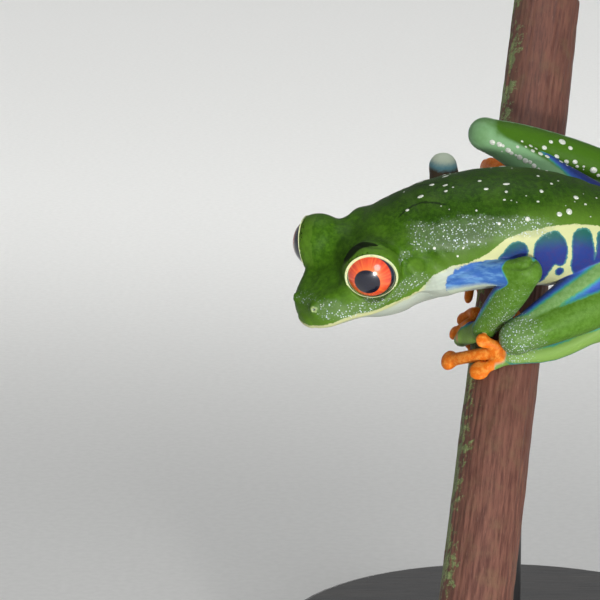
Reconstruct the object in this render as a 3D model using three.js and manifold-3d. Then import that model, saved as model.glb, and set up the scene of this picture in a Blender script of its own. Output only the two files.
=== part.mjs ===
// Red-eyed tree frog, life size, sitting across a leaning plant stem on a plain display stand.
// Millimetres, +Z up. The origin is the centre of the underside of the stand's base.
import * as THREE from "three";
import { mergeVertices } from "three/addons/utils/BufferGeometryUtils.js";
import Module from "manifold-3d";

const wasm = await Module();
wasm.setup();

// ---- Driving dimensions ----------------------------------------------------------------------
const GAP = 0.3; // clear space between neighbouring pieces
const EYE_RADIUS = 3.45;
const LID_THICKNESS = 0.2;
const LID_OPENING = 3.25; // radius of the eye opening
const FINGER_RADIUS = 0.72;
const TOE_RADIUS = 0.78;
const DISC_THICK = 0.62; // half the thickness of a disc
const STEM_RADIUS = 4.9;
const STEM_TAIL = 4.5; // how far the stem goes on below its low mark
const STEM_BEVEL = 0.5;
const BASE_RADIUS = 32;
const BASE_THICK = 8;
const BASE_ROUND = 1.2; // radius of the base's upper edge
const BASE_BEVEL = 0.6; // and the bevel under it
const ROD_RADIUS = 2;
const ROD_SINK = 4; // how deep the rod sits in the base and in the stem
const ROD_ALONG = 45; // where the rod meets the stem, from its low mark

const SKIN_GREEN = 0x3f8a1c;
const LIMB_GREEN = 0x5c9a35;
const FLANK_BLUE = 0x4653a8;
const DIGIT_ORANGE = 0xe8701c;
const EYE_RED = 0xd8321a;
const STEM_BROWN = 0x6b3a35;
const STAND_BLACK = 0x1d1d1f;

const point = (x, y, z) => new THREE.Vector3(x, y, z);

// ---- Frames ----------------------------------------------------------------------------------
// The stem leans back from its low end; `near` is the normal of its upper, front side.
const STEM_LOW = point(-6.1, -29.2, 21.3);
const STEM_HIGH = point(7.4, 40.0, 91.7);
const STEM_LENGTH = STEM_HIGH.distanceTo(STEM_LOW);
const stemAxis = STEM_HIGH.clone().sub(STEM_LOW).normalize();
const stemNear = point(0.085, -0.719, 0.69).projectOnPlane(stemAxis).normalize();
const stemLeft = stemNear.clone().cross(stemAxis).normalize();

// A point by its distance up the stem, its angle round it from `near`, and its height off the bark.
function onStem(along, degrees, height) {
  const turn = THREE.MathUtils.degToRad(degrees);
  return STEM_LOW.clone()
    .addScaledVector(stemAxis, along)
    .addScaledVector(stemNear, Math.cos(turn) * (STEM_RADIUS + height))
    .addScaledVector(stemLeft, Math.sin(turn) * (STEM_RADIUS + height));
}

// The head's own frame: x forward, y to the frog's left, z up, from the front of the mouth line.
const HEAD_ORIGIN = point(-28.2, -11.7, 54.4);
const headForward = point(-0.757, -0.393, -0.522).normalize();
const headLeft = point(0.545, -0.821, -0.172).projectOnPlane(headForward).normalize();
const headUp = headForward.clone().cross(headLeft);
const headFrame = new THREE.Matrix4().makeBasis(headForward, headLeft, headUp).setPosition(HEAD_ORIGIN);
const inHead = (x, y, z) => point(x, y, z).applyMatrix4(headFrame);

const trunkUp = point(0.05, -0.144, 0.988).normalize();
const trunkLeft = point(0.13, -0.982, -0.149).normalize();

// ---- Solids from meshes ----------------------------------------------------------------------
function solid(geometry) {
  const bare = geometry.clone();
  bare.deleteAttribute("normal");
  bare.deleteAttribute("uv");
  const merged = mergeVertices(bare, 1e-5);
  const made = new wasm.Manifold(
    new wasm.Mesh({
      numProp: 3,
      vertProperties: new Float32Array(merged.attributes.position.array),
      triVerts: new Uint32Array(merged.index.array),
    }),
  );
  if (made.volume() < 0) throw new Error("a shape is inside out");
  return made;
}

const join = (solids) => solids.reduce((sum, next) => sum.add(next));
const cutClear = (body, others) => others.reduce((left, other) => left.subtract(other), body);

function largest(body) {
  const pieces = body.decompose();
  return pieces.reduce((best, next) => (next.volume() > best.volume() ? next : best));
}

// A tube with rounded ends through stations { at, wide, tall, up }: half sizes across and along `up`.
// It is a sphere whose rings are laid along a smooth curve.
const THINNEST = 0.05; // its least half size
function tube(stations, { grow = 0, around = 12, rings = 9, capRings = 3 } = {}) {
  const total = rings + 2 * capRings;
  const path = new THREE.CatmullRomCurve3(stations.map((s) => s.at), false, "centripetal");
  const sizes = new THREE.CatmullRomCurve3(
    stations.map((s) => point(s.wide, s.tall, 0)),
    false,
    "catmullrom",
    0.5,
  );
  const ups = new THREE.CatmullRomCurve3(stations.map((s) => s.up), false, "catmullrom", 0.5);
  const geometry = new THREE.SphereGeometry(1, around, total);
  const position = geometry.attributes.position;
  for (let i = 0; i < position.count; i++) {
    const ring = Math.floor(i / (around + 1));
    const turn = ((i % (around + 1)) / around) * 2 * Math.PI;
    const t = THREE.MathUtils.clamp((ring - capRings) / rings, 0, 1);
    const fromEnd = Math.min(ring, total - ring);
    const bend = fromEnd < capRings ? (fromEnd / capRings) * (Math.PI / 2) : Math.PI / 2;
    const size = sizes.getPoint(t);
    const wide = Math.max(size.x, THINNEST) + grow;
    const tall = Math.max(size.y, THINNEST) + grow;
    const tangent = path.getTangent(t);
    const side = ups.getPoint(t).cross(tangent).normalize();
    const up = tangent.clone().cross(side);
    const reach = Math.cos(bend) * Math.min(wide, tall);
    const at = path
      .getPoint(t)
      .addScaledVector(tangent, ring < capRings ? -reach : reach)
      .addScaledVector(side, -Math.cos(turn) * wide * Math.sin(bend))
      .addScaledVector(up, Math.sin(turn) * tall * Math.sin(bend));
    position.setXYZ(i, at.x, at.y, at.z);
  }
  return solid(geometry);
}

// A ball or egg in any frame, given by the half sizes along the frame's axes.
function ball(centre, half, frame, { across = 16, rings = 12 } = {}) {
  const geometry = new THREE.SphereGeometry(1, across, rings).scale(half[0], half[1], half[2]);
  geometry.applyMatrix4(frame.clone().setPosition(centre));
  return solid(geometry);
}

// ---- Head ------------------------------------------------------------------------------------
// Sections from the snout to the nape: distance behind the lip, half width at the mouth line,
// heights of the crown and the chin from the line's own level, and how far the line bends from it.
const HEAD_SECTIONS = [
  { behind: 0.1, half: 1.7, crown: 1.5, chin: 0.5, mouth: 0 },
  { behind: 0.6, half: 3.0, crown: 2.5, chin: 0.8, mouth: 0.1 },
  { behind: 1.5, half: 4.2, crown: 3.3, chin: 1.2, mouth: 0.2 },
  { behind: 3.0, half: 5.3, crown: 3.65, chin: 1.5, mouth: 0.35 },
  { behind: 5.5, half: 6.5, crown: 4.15, chin: 2.2, mouth: 0.1 },
  { behind: 8.5, half: 7.5, crown: 5.1, chin: 4.4, mouth: -0.45 },
  { behind: 12.0, half: 8.2, crown: 5.8, chin: 6.0, mouth: -0.95 },
  { behind: 15.5, half: 8.3, crown: 5.5, chin: 5.8, mouth: -0.5 },
  { behind: 19.0, half: 7.4, crown: 4.9, chin: 5.4, mouth: -0.1 },
];
const SNOUT_CAP = 0.15; // the loft ends this far before its first section
const NAPE_CAP = 0.4; // and this far behind its last
const CHEEK_POWER = 0.9; // below 1, the cheeks are fuller than an ellipse
const LIP_DROP = 0.5; // the upper lip hangs this far below the mouth line
const LIP_OVERHANG = 0.45; // and stands this far out over the lower jaw
const JAW_TOP = 0.8; // how far the lower jaw goes up inside the upper lip

const EYE = { behind: 9.25, out: 6.0, height: 4.68 };
const NOSTRIL = { behind: 1.35, out: 1.85, height: 2.5, radius: 0.62 };
const NOSTRIL_PIT = { radius: 0.3, lift: 0.55 };
const EARDRUM = { behind: 14.2, out: 7.4, height: 2.3, radius: 1.3, thick: 0.5 };

// A loft in the head's frame from half(section), top(section) and bottom(section).
function headLoft(grow, half, top, bottom, around) {
  const rings = 16;
  const profile = new THREE.CatmullRomCurve3(
    HEAD_SECTIONS.map((s) => point(half(s), top(s), bottom(s))),
    false,
    "catmullrom",
    0.5,
  );
  const backs = new THREE.CatmullRomCurve3(
    HEAD_SECTIONS.map((s) => point(s.behind, s.mouth, 0)),
    false,
    "catmullrom",
    0.5,
  );
  const geometry = new THREE.SphereGeometry(1, around, rings + 2);
  const position = geometry.attributes.position;
  for (let i = 0; i < position.count; i++) {
    const ring = Math.floor(i / (around + 1));
    const turn = ((i % (around + 1)) / around) * 2 * Math.PI;
    const t = THREE.MathUtils.clamp((ring - 1) / rings, 0, 1);
    const size = profile.getPoint(t);
    const { x: along, y: mouth } = backs.getPoint(t);
    const first = ring === 0;
    const last = ring === rings + 2;
    const behind = along - (first ? SNOUT_CAP + grow : 0) + (last ? NAPE_CAP : 0);
    const shrink = first || last ? 0 : 1;
    const rise = Math.sin(turn) > 0 ? size.y + grow : size.z + grow;
    const y = Math.cos(turn) * (size.x + grow) * shrink;
    const z = Math.sign(Math.sin(turn)) * Math.abs(Math.sin(turn)) ** CHEEK_POWER * rise * shrink;
    const middle = shrink ? 0 : (size.y - size.z) / 2;
    const at = inHead(-behind, y, mouth + z + middle);
    position.setXYZ(i, at.x, at.y, at.z);
  }
  return solid(geometry);
}

const upperHead = (grow) =>
  headLoft(grow, (s) => s.half, (s) => s.crown - s.mouth, () => LIP_DROP, 28);
const lowerJaw = (grow) =>
  headLoft(grow, (s) => s.half - LIP_OVERHANG, () => JAW_TOP, (s) => s.chin + s.mouth, 22);

const eyeCentre = (side) => inHead(-EYE.behind, side * EYE.out, EYE.height);

// A frame in the head whose second axis faces `out`, with its first as near forward as it can be.
function facing(out) {
  const fore = point(1, 0, 0).projectOnPlane(out).normalize();
  const rotation = new THREE.Matrix4().makeBasis(fore, out, fore.clone().cross(out));
  return new THREE.Matrix4().extractRotation(headFrame).multiply(rotation);
}

// The eye opening faces outward, partly forward and a little up.
const eyeFrame = (side) => facing(point(0.604, side * 0.8, 0.08).normalize());

const eyeball = (side, grow = 0) => {
  const radius = EYE_RADIUS + grow;
  return ball(eyeCentre(side), [radius, radius, radius], eyeFrame(side), { across: 18, rings: 10 });
};

// The lids: a shell over the eyeball with a round opening.
function lidShell(side) {
  const radius = EYE_RADIUS + GAP + LID_THICKNESS;
  return ball(eyeCentre(side), [radius, radius, radius], eyeFrame(side), { across: 20, rings: 12 });
}

function eyeOpening(side) {
  const depth = 5;
  const start = 1; // from the middle of the eye
  const geometry = new THREE.CylinderGeometry(LID_OPENING, LID_OPENING, depth, 20);
  geometry.translate(0, depth / 2 + start, 0);
  geometry.applyMatrix4(eyeFrame(side).setPosition(eyeCentre(side)));
  return solid(geometry);
}

// Soft swellings of the head: the brow that carries each eye, and the cheek below it.
const swelling = (side, [behind, out, height], half) =>
  ball(inHead(-behind, side * out, height), half, new THREE.Matrix4().extractRotation(headFrame), {
    across: 12,
    rings: 8,
  });
const brow = (side) => swelling(side, [9.6, 4.3, 4.4], [3.9, 3.3, 2.6]);
const cheek = (side) => swelling(side, [9.6, 5.5, 2.2], [4.6, 2.9, 2.8]);

// The fold from the eye over the eardrum to the shoulder.
function ridge(side, marks, radius, rings) {
  const stations = marks.map(([behind, out, height, share]) => ({
    at: inHead(-behind, side * out, height),
    wide: radius * share,
    tall: radius * share,
    up: headUp.clone(),
  }));
  return tube(stations, { around: 8, rings });
}

const FOLD_RADIUS = 0.8;
const FOLD = [[12.4, 6.0, 3.9, 1], [14.4, 6.3, 4.1, 1], [15.8, 6.9, 3.2, 1], [16.6, 7.3, 1.6, 0.8]];
const eardrumFold = (side) => ridge(side, FOLD, FOLD_RADIUS, 5);

function eardrum(side) {
  const { behind, out, height, radius, thick } = EARDRUM;
  const frame = facing(point(-0.02, side * 0.93, 0.36).normalize());
  return ball(inHead(-behind, side * out, height), [radius, thick, radius], frame, { across: 14, rings: 8 });
}

// The rim of a nostril, or with `lift` the pit in it.
function nostril(side, radius, lift = 0) {
  const outward = 0.6; // the share of the lift that goes to the side
  const centre = inHead(-NOSTRIL.behind, side * (NOSTRIL.out + lift * outward), NOSTRIL.height + lift);
  return ball(centre, [radius, radius, radius], eyeFrame(side), { across: 8, rings: 6 });
}

const sides = { left: 1, right: -1 };
const both = Object.values(sides);

const headWhole = (grow) => join([upperHead(grow), lowerJaw(grow)]);

// ---- Trunk -----------------------------------------------------------------------------------
// Stations from inside the head to the vent.
const TRUNK = [
  { at: point(-18.6, -7.0, 61.3), wide: 6.6, tall: 4.6, up: headUp.clone() },
  { at: point(-15.3, -6.2, 63.4), wide: 7.6, tall: 6.2, up: headUp.clone().lerp(trunkUp, 0.4) },
  { at: point(-10.3, -5.5, 65.0), wide: 8.2, tall: 7.7, up: headUp.clone().lerp(trunkUp, 0.75) },
  { at: point(-1.3, -4.4, 66.15), wide: 8.9, tall: 8.0, up: trunkUp.clone() },
  { at: point(6.6, -3.4, 65.4), wide: 8.6, tall: 7.25, up: trunkUp.clone() },
  { at: point(14.6, -2.4, 63.8), wide: 6.5, tall: 5.4, up: trunkUp.clone() },
  { at: point(21.0, -1.8, 62.5), wide: 4.2, tall: 3.9, up: trunkUp.clone() },
  { at: point(25.2, -1.5, 61.6), wide: 2.4, tall: 2.3, up: trunkUp.clone() },
];
const trunk = (grow) => tube(TRUNK, { grow, around: 24, rings: 18 });

const NECK_BEHIND = 17.4; // the parting of head and trunk, behind the lip
const neckAt = inHead(-NECK_BEHIND, 0, 0.5);
const neckWay = headForward.clone().add(point(-0.99, -0.137, 0.029)).normalize();

// A large block on one side of the parting at the neck, kept back by half the gap.
function neckBlock(way) {
  const size = 90;
  const geometry = new THREE.BoxGeometry(size, size, size).translate(0, 0, size / 2 + GAP / 2);
  const normal = neckWay.clone().multiplyScalar(way);
  const turn = new THREE.Quaternion().setFromUnitVectors(point(0, 0, 1), normal);
  geometry.applyQuaternion(turn).translate(neckAt.x, neckAt.y, neckAt.z);
  return solid(geometry);
}

// ---- Limbs -----------------------------------------------------------------------------------
const ARMS = {
  left: {
    shoulder: point(-9.8, -11.0, 60.8),
    elbow: point(0.9, -14.4, 61.9),
    wrist: point(-4.2, -7.8, 52.7),
  },
  right: {
    shoulder: point(-11.4, 0.0, 62.6),
    elbow: point(-9.2, 8.6, 72.2),
    wrist: point(-5.9, 4.4, 59.6),
  },
};
const LEGS = {
  left: {
    hip: point(18.9, -5.7, 65.05),
    knee: point(-0.2, -12.4, 52.5),
    ankle: point(23.3, -8.3, 60.9),
    heel: point(10.9, -8.3, 52.5),
    arch: point(5.0, -9.2, 50.1),
    sole: point(-0.6, -10.4, 49.9),
  },
  right: {
    hip: point(18.6, 1.2, 63.6),
    knee: point(-3.5, 7.2, 76.9),
    ankle: point(23.2, 10.9, 68.6),
    heel: point(10.9, 14.2, 70.2),
    arch: point(5.8, 13.9, 70.9),
    sole: point(0.6, 13.2, 71.6),
  },
};

// A limb segment from its half sizes [share of the way, across, along `up`].
function segment(from, to, sizes, up, grow, options = {}) {
  const stations = sizes.map(([share, wide, tall]) => ({
    at: from.clone().lerp(to, share),
    wide,
    tall,
    up: up.clone(),
  }));
  return tube(stations, { grow, around: 12, rings: 8, ...options });
}

const upperArm = (side, grow = 0) => {
  const { shoulder, elbow } = ARMS[side];
  const sizes = [[0, 2.5, 2.3], [0.35, 1.95, 1.85], [0.7, 1.7, 1.7], [1, 1.85, 1.85]];
  return segment(shoulder, elbow, sizes, trunkUp, grow);
};
const forearm = (side, grow = 0) => {
  const { elbow, wrist } = ARMS[side];
  const sizes = [[0, 2.0, 1.9], [0.3, 2.3, 2.15], [0.65, 2.15, 1.95], [1, 1.6, 1.4]];
  return segment(elbow, wrist, sizes, trunkLeft, grow);
};
const THIGHS = {
  left: [[-0.08, 2.9, 2.9], [0.2, 3.3, 3.1], [0.55, 2.9, 2.7], [0.85, 2.4, 2.2], [1, 2.15, 2.1]],
  right: [[-0.08, 2.9, 2.9], [0.2, 3.0, 3.1], [0.55, 2.5, 2.7], [0.85, 2.15, 2.2], [1, 2.1, 2.1]],
};
const thigh = (side, grow = 0) => {
  const { hip, knee } = LEGS[side];
  return segment(hip, knee, THIGHS[side], trunkLeft, grow, { around: 14, rings: 10 });
};
const SHANKS = {
  left: [[0, 2.1, 2.4], [0.18, 2.55, 2.95], [0.45, 2.85, 2.8], [0.8, 2.25, 1.95], [1, 1.8, 1.7]],
  right: [[0, 2.2, 2.4], [0.18, 2.8, 2.9], [0.45, 2.85, 2.8], [0.8, 2.1, 1.95], [1, 1.7, 1.7]],
};
const shank = (side, grow = 0) => {
  const { knee, ankle } = LEGS[side];
  return segment(knee, ankle, SHANKS[side], trunkLeft, grow, { around: 14, rings: 10 });
};
const tarsus = (side, grow = 0) => {
  const { ankle, heel } = LEGS[side];
  const sizes = [[0, 1.5, 1.5], [0.3, 1.4, 1.45], [0.7, 1.25, 1.4], [1, 1.45, 1.3]];
  return segment(ankle, heel, sizes, trunkLeft, grow);
};

// A digit through points on or off the stem, ending in a flat round disc.
// `up` is the outward normal at each point, so that the disc lies flat on the bark.
const KNUCKLE = { wide: 1.25, tall: 1.1 }; // a digit's thickness at its knuckle, in radii
const DIGIT = { wide: 1, tall: 0.95 }; // and from there on
const DISC_LENGTH = 1.7; // in half widths of the disc
const DISC_SHAPE = [[0.3, 0.82, 1], [0.6, 1, 1], [0.95, 0.66, 0.8]]; // share of the length, width, thickness
function digit(marks, radius, disc, thick, grow) {
  const last = marks.length - 1;
  const lead = marks[last].at.clone().sub(marks[last - 1].at).normalize();
  const stations = marks.map((m, i) => {
    const { wide, tall } = i === 0 ? KNUCKLE : DIGIT;
    return { at: m.at, wide: radius * wide, tall: radius * tall, up: m.up };
  });
  for (const [share, wide, tall] of DISC_SHAPE) {
    const at = marks[last].at.clone().addScaledVector(lead, disc * DISC_LENGTH * share);
    stations.push({ at, wide: disc * wide, tall: thick * tall, up: marks[last].up });
  }
  return tube(stations, { grow, around: 7, rings: 6, capRings: 2 });
}

// Marks on the stem as [along, degrees, height], and for a palm half its width there.
const stemMarks = (list) =>
  list.map(([along, degrees, height, wide]) => ({
    at: onStem(along, degrees, height),
    up: onStem(along, degrees, 1).sub(onStem(along, degrees, 0)),
    wide,
  }));

// Digits of each hand and foot, from their knuckles to where the disc begins, and half the width of
// the disc. `stout` thickens a digit, and its disc by the square.
const HANDS = {
  left: {
    palm: [[38.3, 52, 1.1, 1.7], [39.0, 76, 1.0, 1.4], [38.9, 92, 1.4, 0.75]],
    digits: [
      { marks: [[39.0, 40, 1.2], [39.8, 24, 1.0], [40.2, 10, 0.9]], disc: 1.1 },
      { marks: [[41.9, 60, 0.9], [42.75, 76, 0.9], [42.75, 88, 1.1]], disc: 0.95 },
      { marks: [[40.3, 70, 1.0], [40.75, 82, 1.2], [40.7, 92, 1.75]], disc: 1.05 },
      { marks: [[38.9, 82, 1.2], [40.2, 104, 1.0], [40.6, 126, 0.9]], disc: 1.2 },
    ],
  },
  right: {
    palm: [[50.2, 66, 1.5, 1.6], [50.0, 74, 1.3, 1.8], [49.8, 80, 1.2, 2.0]],
    digits: [
      { marks: [[48.8, 62, 1.2], [46.8, 38, 1.0], [45.6, 18, 0.9]], disc: 1.1 },
      { marks: [[49.4, 78, 1.1], [48.4, 86, 1.0], [47.6, 91, 1.0]], disc: 1.1 },
      { marks: [[50.6, 86, 1.1], [51.0, 108, 1.0], [50.8, 128, 0.9]], disc: 1.3 },
      { marks: [[51.6, 78, 1.1], [53.4, 96, 1.0], [54.0, 116, 0.9]], disc: 1.2 },
    ],
  },
};
const FEET = {
  left: {
    palm: [[34.3, -2, 1.3, 1.2], [34.5, 8, 1.1, 1.15], [34.5, 18, 1.0, 1.05]],
    digits: [
      { marks: [[34.8, 4, 1.1], [35.3, -10, 1.0], [35.4, -24, 0.9]], disc: 1.1 },
      { marks: [[35.4, 10, 1.1], [36.5, 5, 1.0], [37.3, 0, 0.9]], disc: 1.1 },
      { marks: [[34.6, 11, 1.6], [34.6, 16, 2.3], [34.7, 21.5, 2.8]], disc: 1.05 },
      { marks: [[34.5, 14, 1.0], [34.3, 36, 1.0], [34.6, 60, 1.2], [35.1, 80, 1.9]], disc: 1.4, stout: 1.2 },
      { marks: [[33.6, 4, 1.1], [32.7, 16, 0.9], [32.3, 24, 0.9]], disc: 1.5 },
    ],
  },
  right: {
    palm: [[62.6, 8, 1.7, 1.4], [63.6, 26, 1.3, 1.5], [64.4, 40, 1.2, 1.4]],
    digits: [
      { marks: [[63.0, 28, 1.1], [61.6, 44, 1.0], [60.6, 60, 0.9]], disc: 1.1 },
      { marks: [[63.6, 38, 1.1], [63.4, 62, 1.0], [63.0, 82, 0.9]], disc: 1.15 },
      { marks: [[64.4, 44, 1.1], [65.4, 72, 1.0], [65.8, 98, 0.9]], disc: 1.3 },
      { marks: [[65.2, 40, 1.1], [67.4, 66, 1.0], [68.6, 94, 0.9]], disc: 1.35 },
      { marks: [[65.4, 28, 1.1], [68.0, 40, 1.0], [70.2, 54, 0.9]], disc: 1.35 },
    ],
  },
};

const digitSet = (layout, radius, grow) =>
  layout.digits.map(({ marks, disc, stout = 1 }) =>
    digit(stemMarks(marks), radius * stout, disc, DISC_THICK * stout ** 2, grow),
  );

const PALM_TALL = 0.95; // half the thickness of a palm
const WRIST = { wide: 1.28, tall: 1 }; // and half sizes where it begins
function palm(start, layout, grow) {
  const marks = stemMarks(layout.palm);
  const stations = marks.map((m) => ({ at: m.at, wide: m.wide, tall: PALM_TALL, up: m.up }));
  stations.unshift({ at: start, ...WRIST, up: marks[0].up });
  return tube(stations, { grow, around: 10, rings: 7, capRings: 2 });
}

const hand = (side, grow = 0) =>
  join([palm(ARMS[side].wrist, HANDS[side], grow), ...digitSet(HANDS[side], FINGER_RADIUS, grow)]);
const foot = (side, grow = 0) => {
  const { heel, arch, sole } = LEGS[side];
  const toe = digitSet(FEET[side], TOE_RADIUS, grow);
  const instep = tube(
    [
      { at: heel, wide: 1.4, tall: 1.3, up: stemNear },
      { at: arch, wide: 1.5, tall: 1.2, up: stemNear },
      { at: sole, wide: 1.6, tall: 1.05, up: stemNear },
    ],
    { grow, around: 10, rings: 7, capRings: 2 },
  );
  return join([instep, palm(sole, FEET[side], grow), ...toe]);
};

// ---- Stem and stand --------------------------------------------------------------------------
const stemFrame = new THREE.Quaternion().setFromUnitVectors(point(0, 1, 0), stemAxis);
function stem(grow = 0) {
  const long = STEM_TAIL + STEM_LENGTH + 2 * grow;
  const outer = STEM_RADIUS + grow;
  const profile = [
    new THREE.Vector2(0, 0),
    new THREE.Vector2(outer - STEM_BEVEL, 0),
    new THREE.Vector2(outer, STEM_BEVEL),
    new THREE.Vector2(outer, long - STEM_BEVEL),
    new THREE.Vector2(outer - STEM_BEVEL, long),
    new THREE.Vector2(0, long),
  ];
  const geometry = new THREE.LatheGeometry(profile, 32).translate(0, -STEM_TAIL - grow, 0);
  geometry.applyQuaternion(stemFrame).translate(STEM_LOW.x, STEM_LOW.y, STEM_LOW.z);
  return solid(geometry);
}

const rodTop = STEM_LOW.clone().addScaledVector(stemAxis, ROD_ALONG);
function rod(grow = 0) {
  const low = BASE_THICK - ROD_SINK;
  const high = rodTop.z - STEM_RADIUS / Math.SQRT1_2 + ROD_SINK;
  const radius = ROD_RADIUS + grow;
  const geometry = new THREE.CylinderGeometry(radius, radius, high - low + 2 * grow, 24);
  geometry.rotateX(Math.PI / 2).translate(rodTop.x, rodTop.y, (low + high) / 2);
  return solid(geometry);
}

function base() {
  const profile = [
    new THREE.Vector2(0, 0),
    new THREE.Vector2(BASE_RADIUS - BASE_BEVEL, 0),
    new THREE.Vector2(BASE_RADIUS, BASE_BEVEL),
  ];
  const steps = 3;
  for (let i = 0; i <= steps; i++) {
    const turn = (i / steps) * (Math.PI / 2);
    const out = BASE_RADIUS + (Math.cos(turn) - 1) * BASE_ROUND;
    profile.push(new THREE.Vector2(out, BASE_THICK + (Math.sin(turn) - 1) * BASE_ROUND));
  }
  profile.push(new THREE.Vector2(0, BASE_THICK));
  return solid(new THREE.LatheGeometry(profile, 60).rotateX(Math.PI / 2));
}

// ---- Assembly --------------------------------------------------------------------------------
const frog = new THREE.Group();

function addNode(name, body, colour, roughness = 0.45) {
  const mesh = largest(body).getMesh();
  const geometry = new THREE.BufferGeometry();
  geometry.setAttribute("position", new THREE.BufferAttribute(new Float32Array(mesh.vertProperties), 3));
  geometry.setIndex(new THREE.BufferAttribute(new Uint32Array(mesh.triVerts), 1));
  geometry.computeVertexNormals();
  const material = new THREE.MeshStandardMaterial({ color: colour, roughness, metalness: 0 });
  const node = new THREE.Mesh(geometry, material);
  node.name = name;
  frog.add(node);
}

const bodyGrown = join([headWhole(GAP), trunk(GAP)]);
const headFull = join([
  headWhole(0),
  trunk(0),
  ...both.map((side) => nostril(side, NOSTRIL.radius)),
  ...both.flatMap((side) => [brow(side), cheek(side), lidShell(side), eardrumFold(side), eardrum(side)]),
]);
const nostrilPit = (side) => nostril(side, NOSTRIL_PIT.radius, NOSTRIL_PIT.lift);
const headCuts = both.flatMap((side) => [eyeball(side, GAP), eyeOpening(side), nostrilPit(side)]);
addNode("head", cutClear(headFull, headCuts).intersect(neckBlock(1)), SKIN_GREEN);
addNode("torso", headFull.intersect(neckBlock(-1)), FLANK_BLUE);

const stemGrown = stem(GAP);
for (const [name, side] of Object.entries(sides)) {
  addNode(`eye_${name}`, eyeball(side), EYE_RED, 0.1);

  const arm = { upper: upperArm(name, GAP), fore: forearm(name, GAP), hand: hand(name, GAP) };
  const leg = { thigh: thigh(name, GAP), shank: shank(name, GAP), tarsus: tarsus(name, GAP) };
  addNode(`upper_arm_${name}`, cutClear(upperArm(name), [bodyGrown]), FLANK_BLUE);
  addNode(`forearm_${name}`, cutClear(forearm(name), [bodyGrown, arm.upper, stemGrown]), LIMB_GREEN);
  addNode(`hand_${name}`, cutClear(hand(name), [bodyGrown, arm.fore, stemGrown]), DIGIT_ORANGE);
  addNode(`thigh_${name}`, cutClear(thigh(name), [bodyGrown, arm.upper, arm.fore]), LIMB_GREEN);
  addNode(`shank_${name}`, cutClear(shank(name), [bodyGrown, leg.thigh, arm.fore, stemGrown]), LIMB_GREEN);
  const clearOfTarsus = [bodyGrown, leg.shank, leg.thigh, stemGrown];
  addNode(`tarsus_${name}`, cutClear(tarsus(name), clearOfTarsus), LIMB_GREEN);
  const clearOfFoot = [bodyGrown, leg.tarsus, leg.shank, leg.thigh, arm.fore, arm.hand, stemGrown];
  addNode(`foot_${name}`, cutClear(foot(name), clearOfFoot), DIGIT_ORANGE);
}

addNode("perch_stem", cutClear(stem(), [rod(GAP)]), STEM_BROWN, 0.8);
addNode("stand_rod", rod(), STAND_BLACK, 0.3);
addNode("stand_base", cutClear(base(), [rod(GAP)]), STAND_BLACK, 0.4);

export default frog;
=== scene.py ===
import bmesh
import bpy
import numpy as np
from mathutils import Matrix, Vector
from mathutils.bvhtree import BVHTree


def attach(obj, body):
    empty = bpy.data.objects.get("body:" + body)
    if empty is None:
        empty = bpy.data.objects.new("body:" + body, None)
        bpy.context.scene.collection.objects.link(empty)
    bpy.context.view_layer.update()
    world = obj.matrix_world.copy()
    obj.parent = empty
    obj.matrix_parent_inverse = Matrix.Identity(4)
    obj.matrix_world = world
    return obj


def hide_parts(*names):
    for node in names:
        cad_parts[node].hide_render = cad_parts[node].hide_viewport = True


# ---- Model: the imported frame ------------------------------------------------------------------
# The frog, its stem and its stand are loaded as plain solids, which stay where they are. Every
# piece below is made round them.
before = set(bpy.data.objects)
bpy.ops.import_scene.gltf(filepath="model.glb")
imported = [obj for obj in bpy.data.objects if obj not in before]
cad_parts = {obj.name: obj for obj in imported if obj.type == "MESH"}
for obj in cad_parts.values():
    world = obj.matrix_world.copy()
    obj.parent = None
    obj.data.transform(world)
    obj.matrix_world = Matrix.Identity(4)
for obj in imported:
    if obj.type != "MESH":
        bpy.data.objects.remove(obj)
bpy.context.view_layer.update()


# ---- Frog: the clay it is modelled in ---------------------------------------------------------
# The frog is one cast skin over a built-up body: head, trunk and limbs are laid into a block of
# clay as soft solids that flow into each other, and the skin is drawn over the whole at the end.
MM = 0.001  # the model is in metres, and every size below is in millimetres


def spaced(*runs):
    """Marks along an edge of the block, from runs of (start, end, step)."""
    marks = [np.arange(start, end, step) for start, end, step in runs]
    return np.concatenate(marks).astype(np.float32)


# The block's marks are close together round the head, and further apart behind it.
block_x = spaced((-31.5, -10.0, 0.22), (-10.0, 28.6, 0.33))
block_y = spaced((-20.8, -3.0, 0.24), (-3.0, 21.8, 0.33))
block_z = spaced((43.5, 50.0, 0.33), (50.0, 68.0, 0.24), (68.0, 84.5, 0.33))
OUTSIDE = 4.0  # the clay's value where nothing has been laid
clay = np.full((len(block_x), len(block_y), len(block_z)), OUTSIDE, np.float32)


def part_of_block(low, high):
    """The slices and the points of the block between two corners."""
    slices = tuple(
        slice(int(np.searchsorted(marks, a)), int(np.searchsorted(marks, b)))
        for marks, a, b in zip((block_x, block_y, block_z), low, high)
    )
    marks = [m[s] for m, s in zip((block_x, block_y, block_z), slices)]
    grid = np.meshgrid(*marks, indexing="ij")
    return slices, np.stack(grid, -1)


def merged(a, b, softness):
    """The union of two solids, rounded over `softness` where they meet."""
    share = np.clip(0.5 + 0.5 * (b - a) / softness, 0, 1)
    return b + (a - b) * share - softness * share * (1 - share)


def work_clay(slices, solid, softness, press=False):
    """Lays a solid into the clay, or presses its shape out of it."""
    way = -1 if press else 1
    clay[slices] = way * merged(way * clay[slices], solid, softness)


def smooth_step(low, high, value):
    t = np.clip((value - low) / (high - low), 0, 1)
    return t * t * (3 - 2 * t)


# ---- Frog: trunk ------------------------------------------------------------------------------
# A slim body, widest behind the shoulders, that narrows to the hips and the vent. Its skin is
# drawn tight over the back and hangs a little along the flanks.
FAR_OFF = 1e3
LIMB_MARGIN = 2.6  # how far round a limb the clay is worked
PRESS_MARGIN = 1.5


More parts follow.
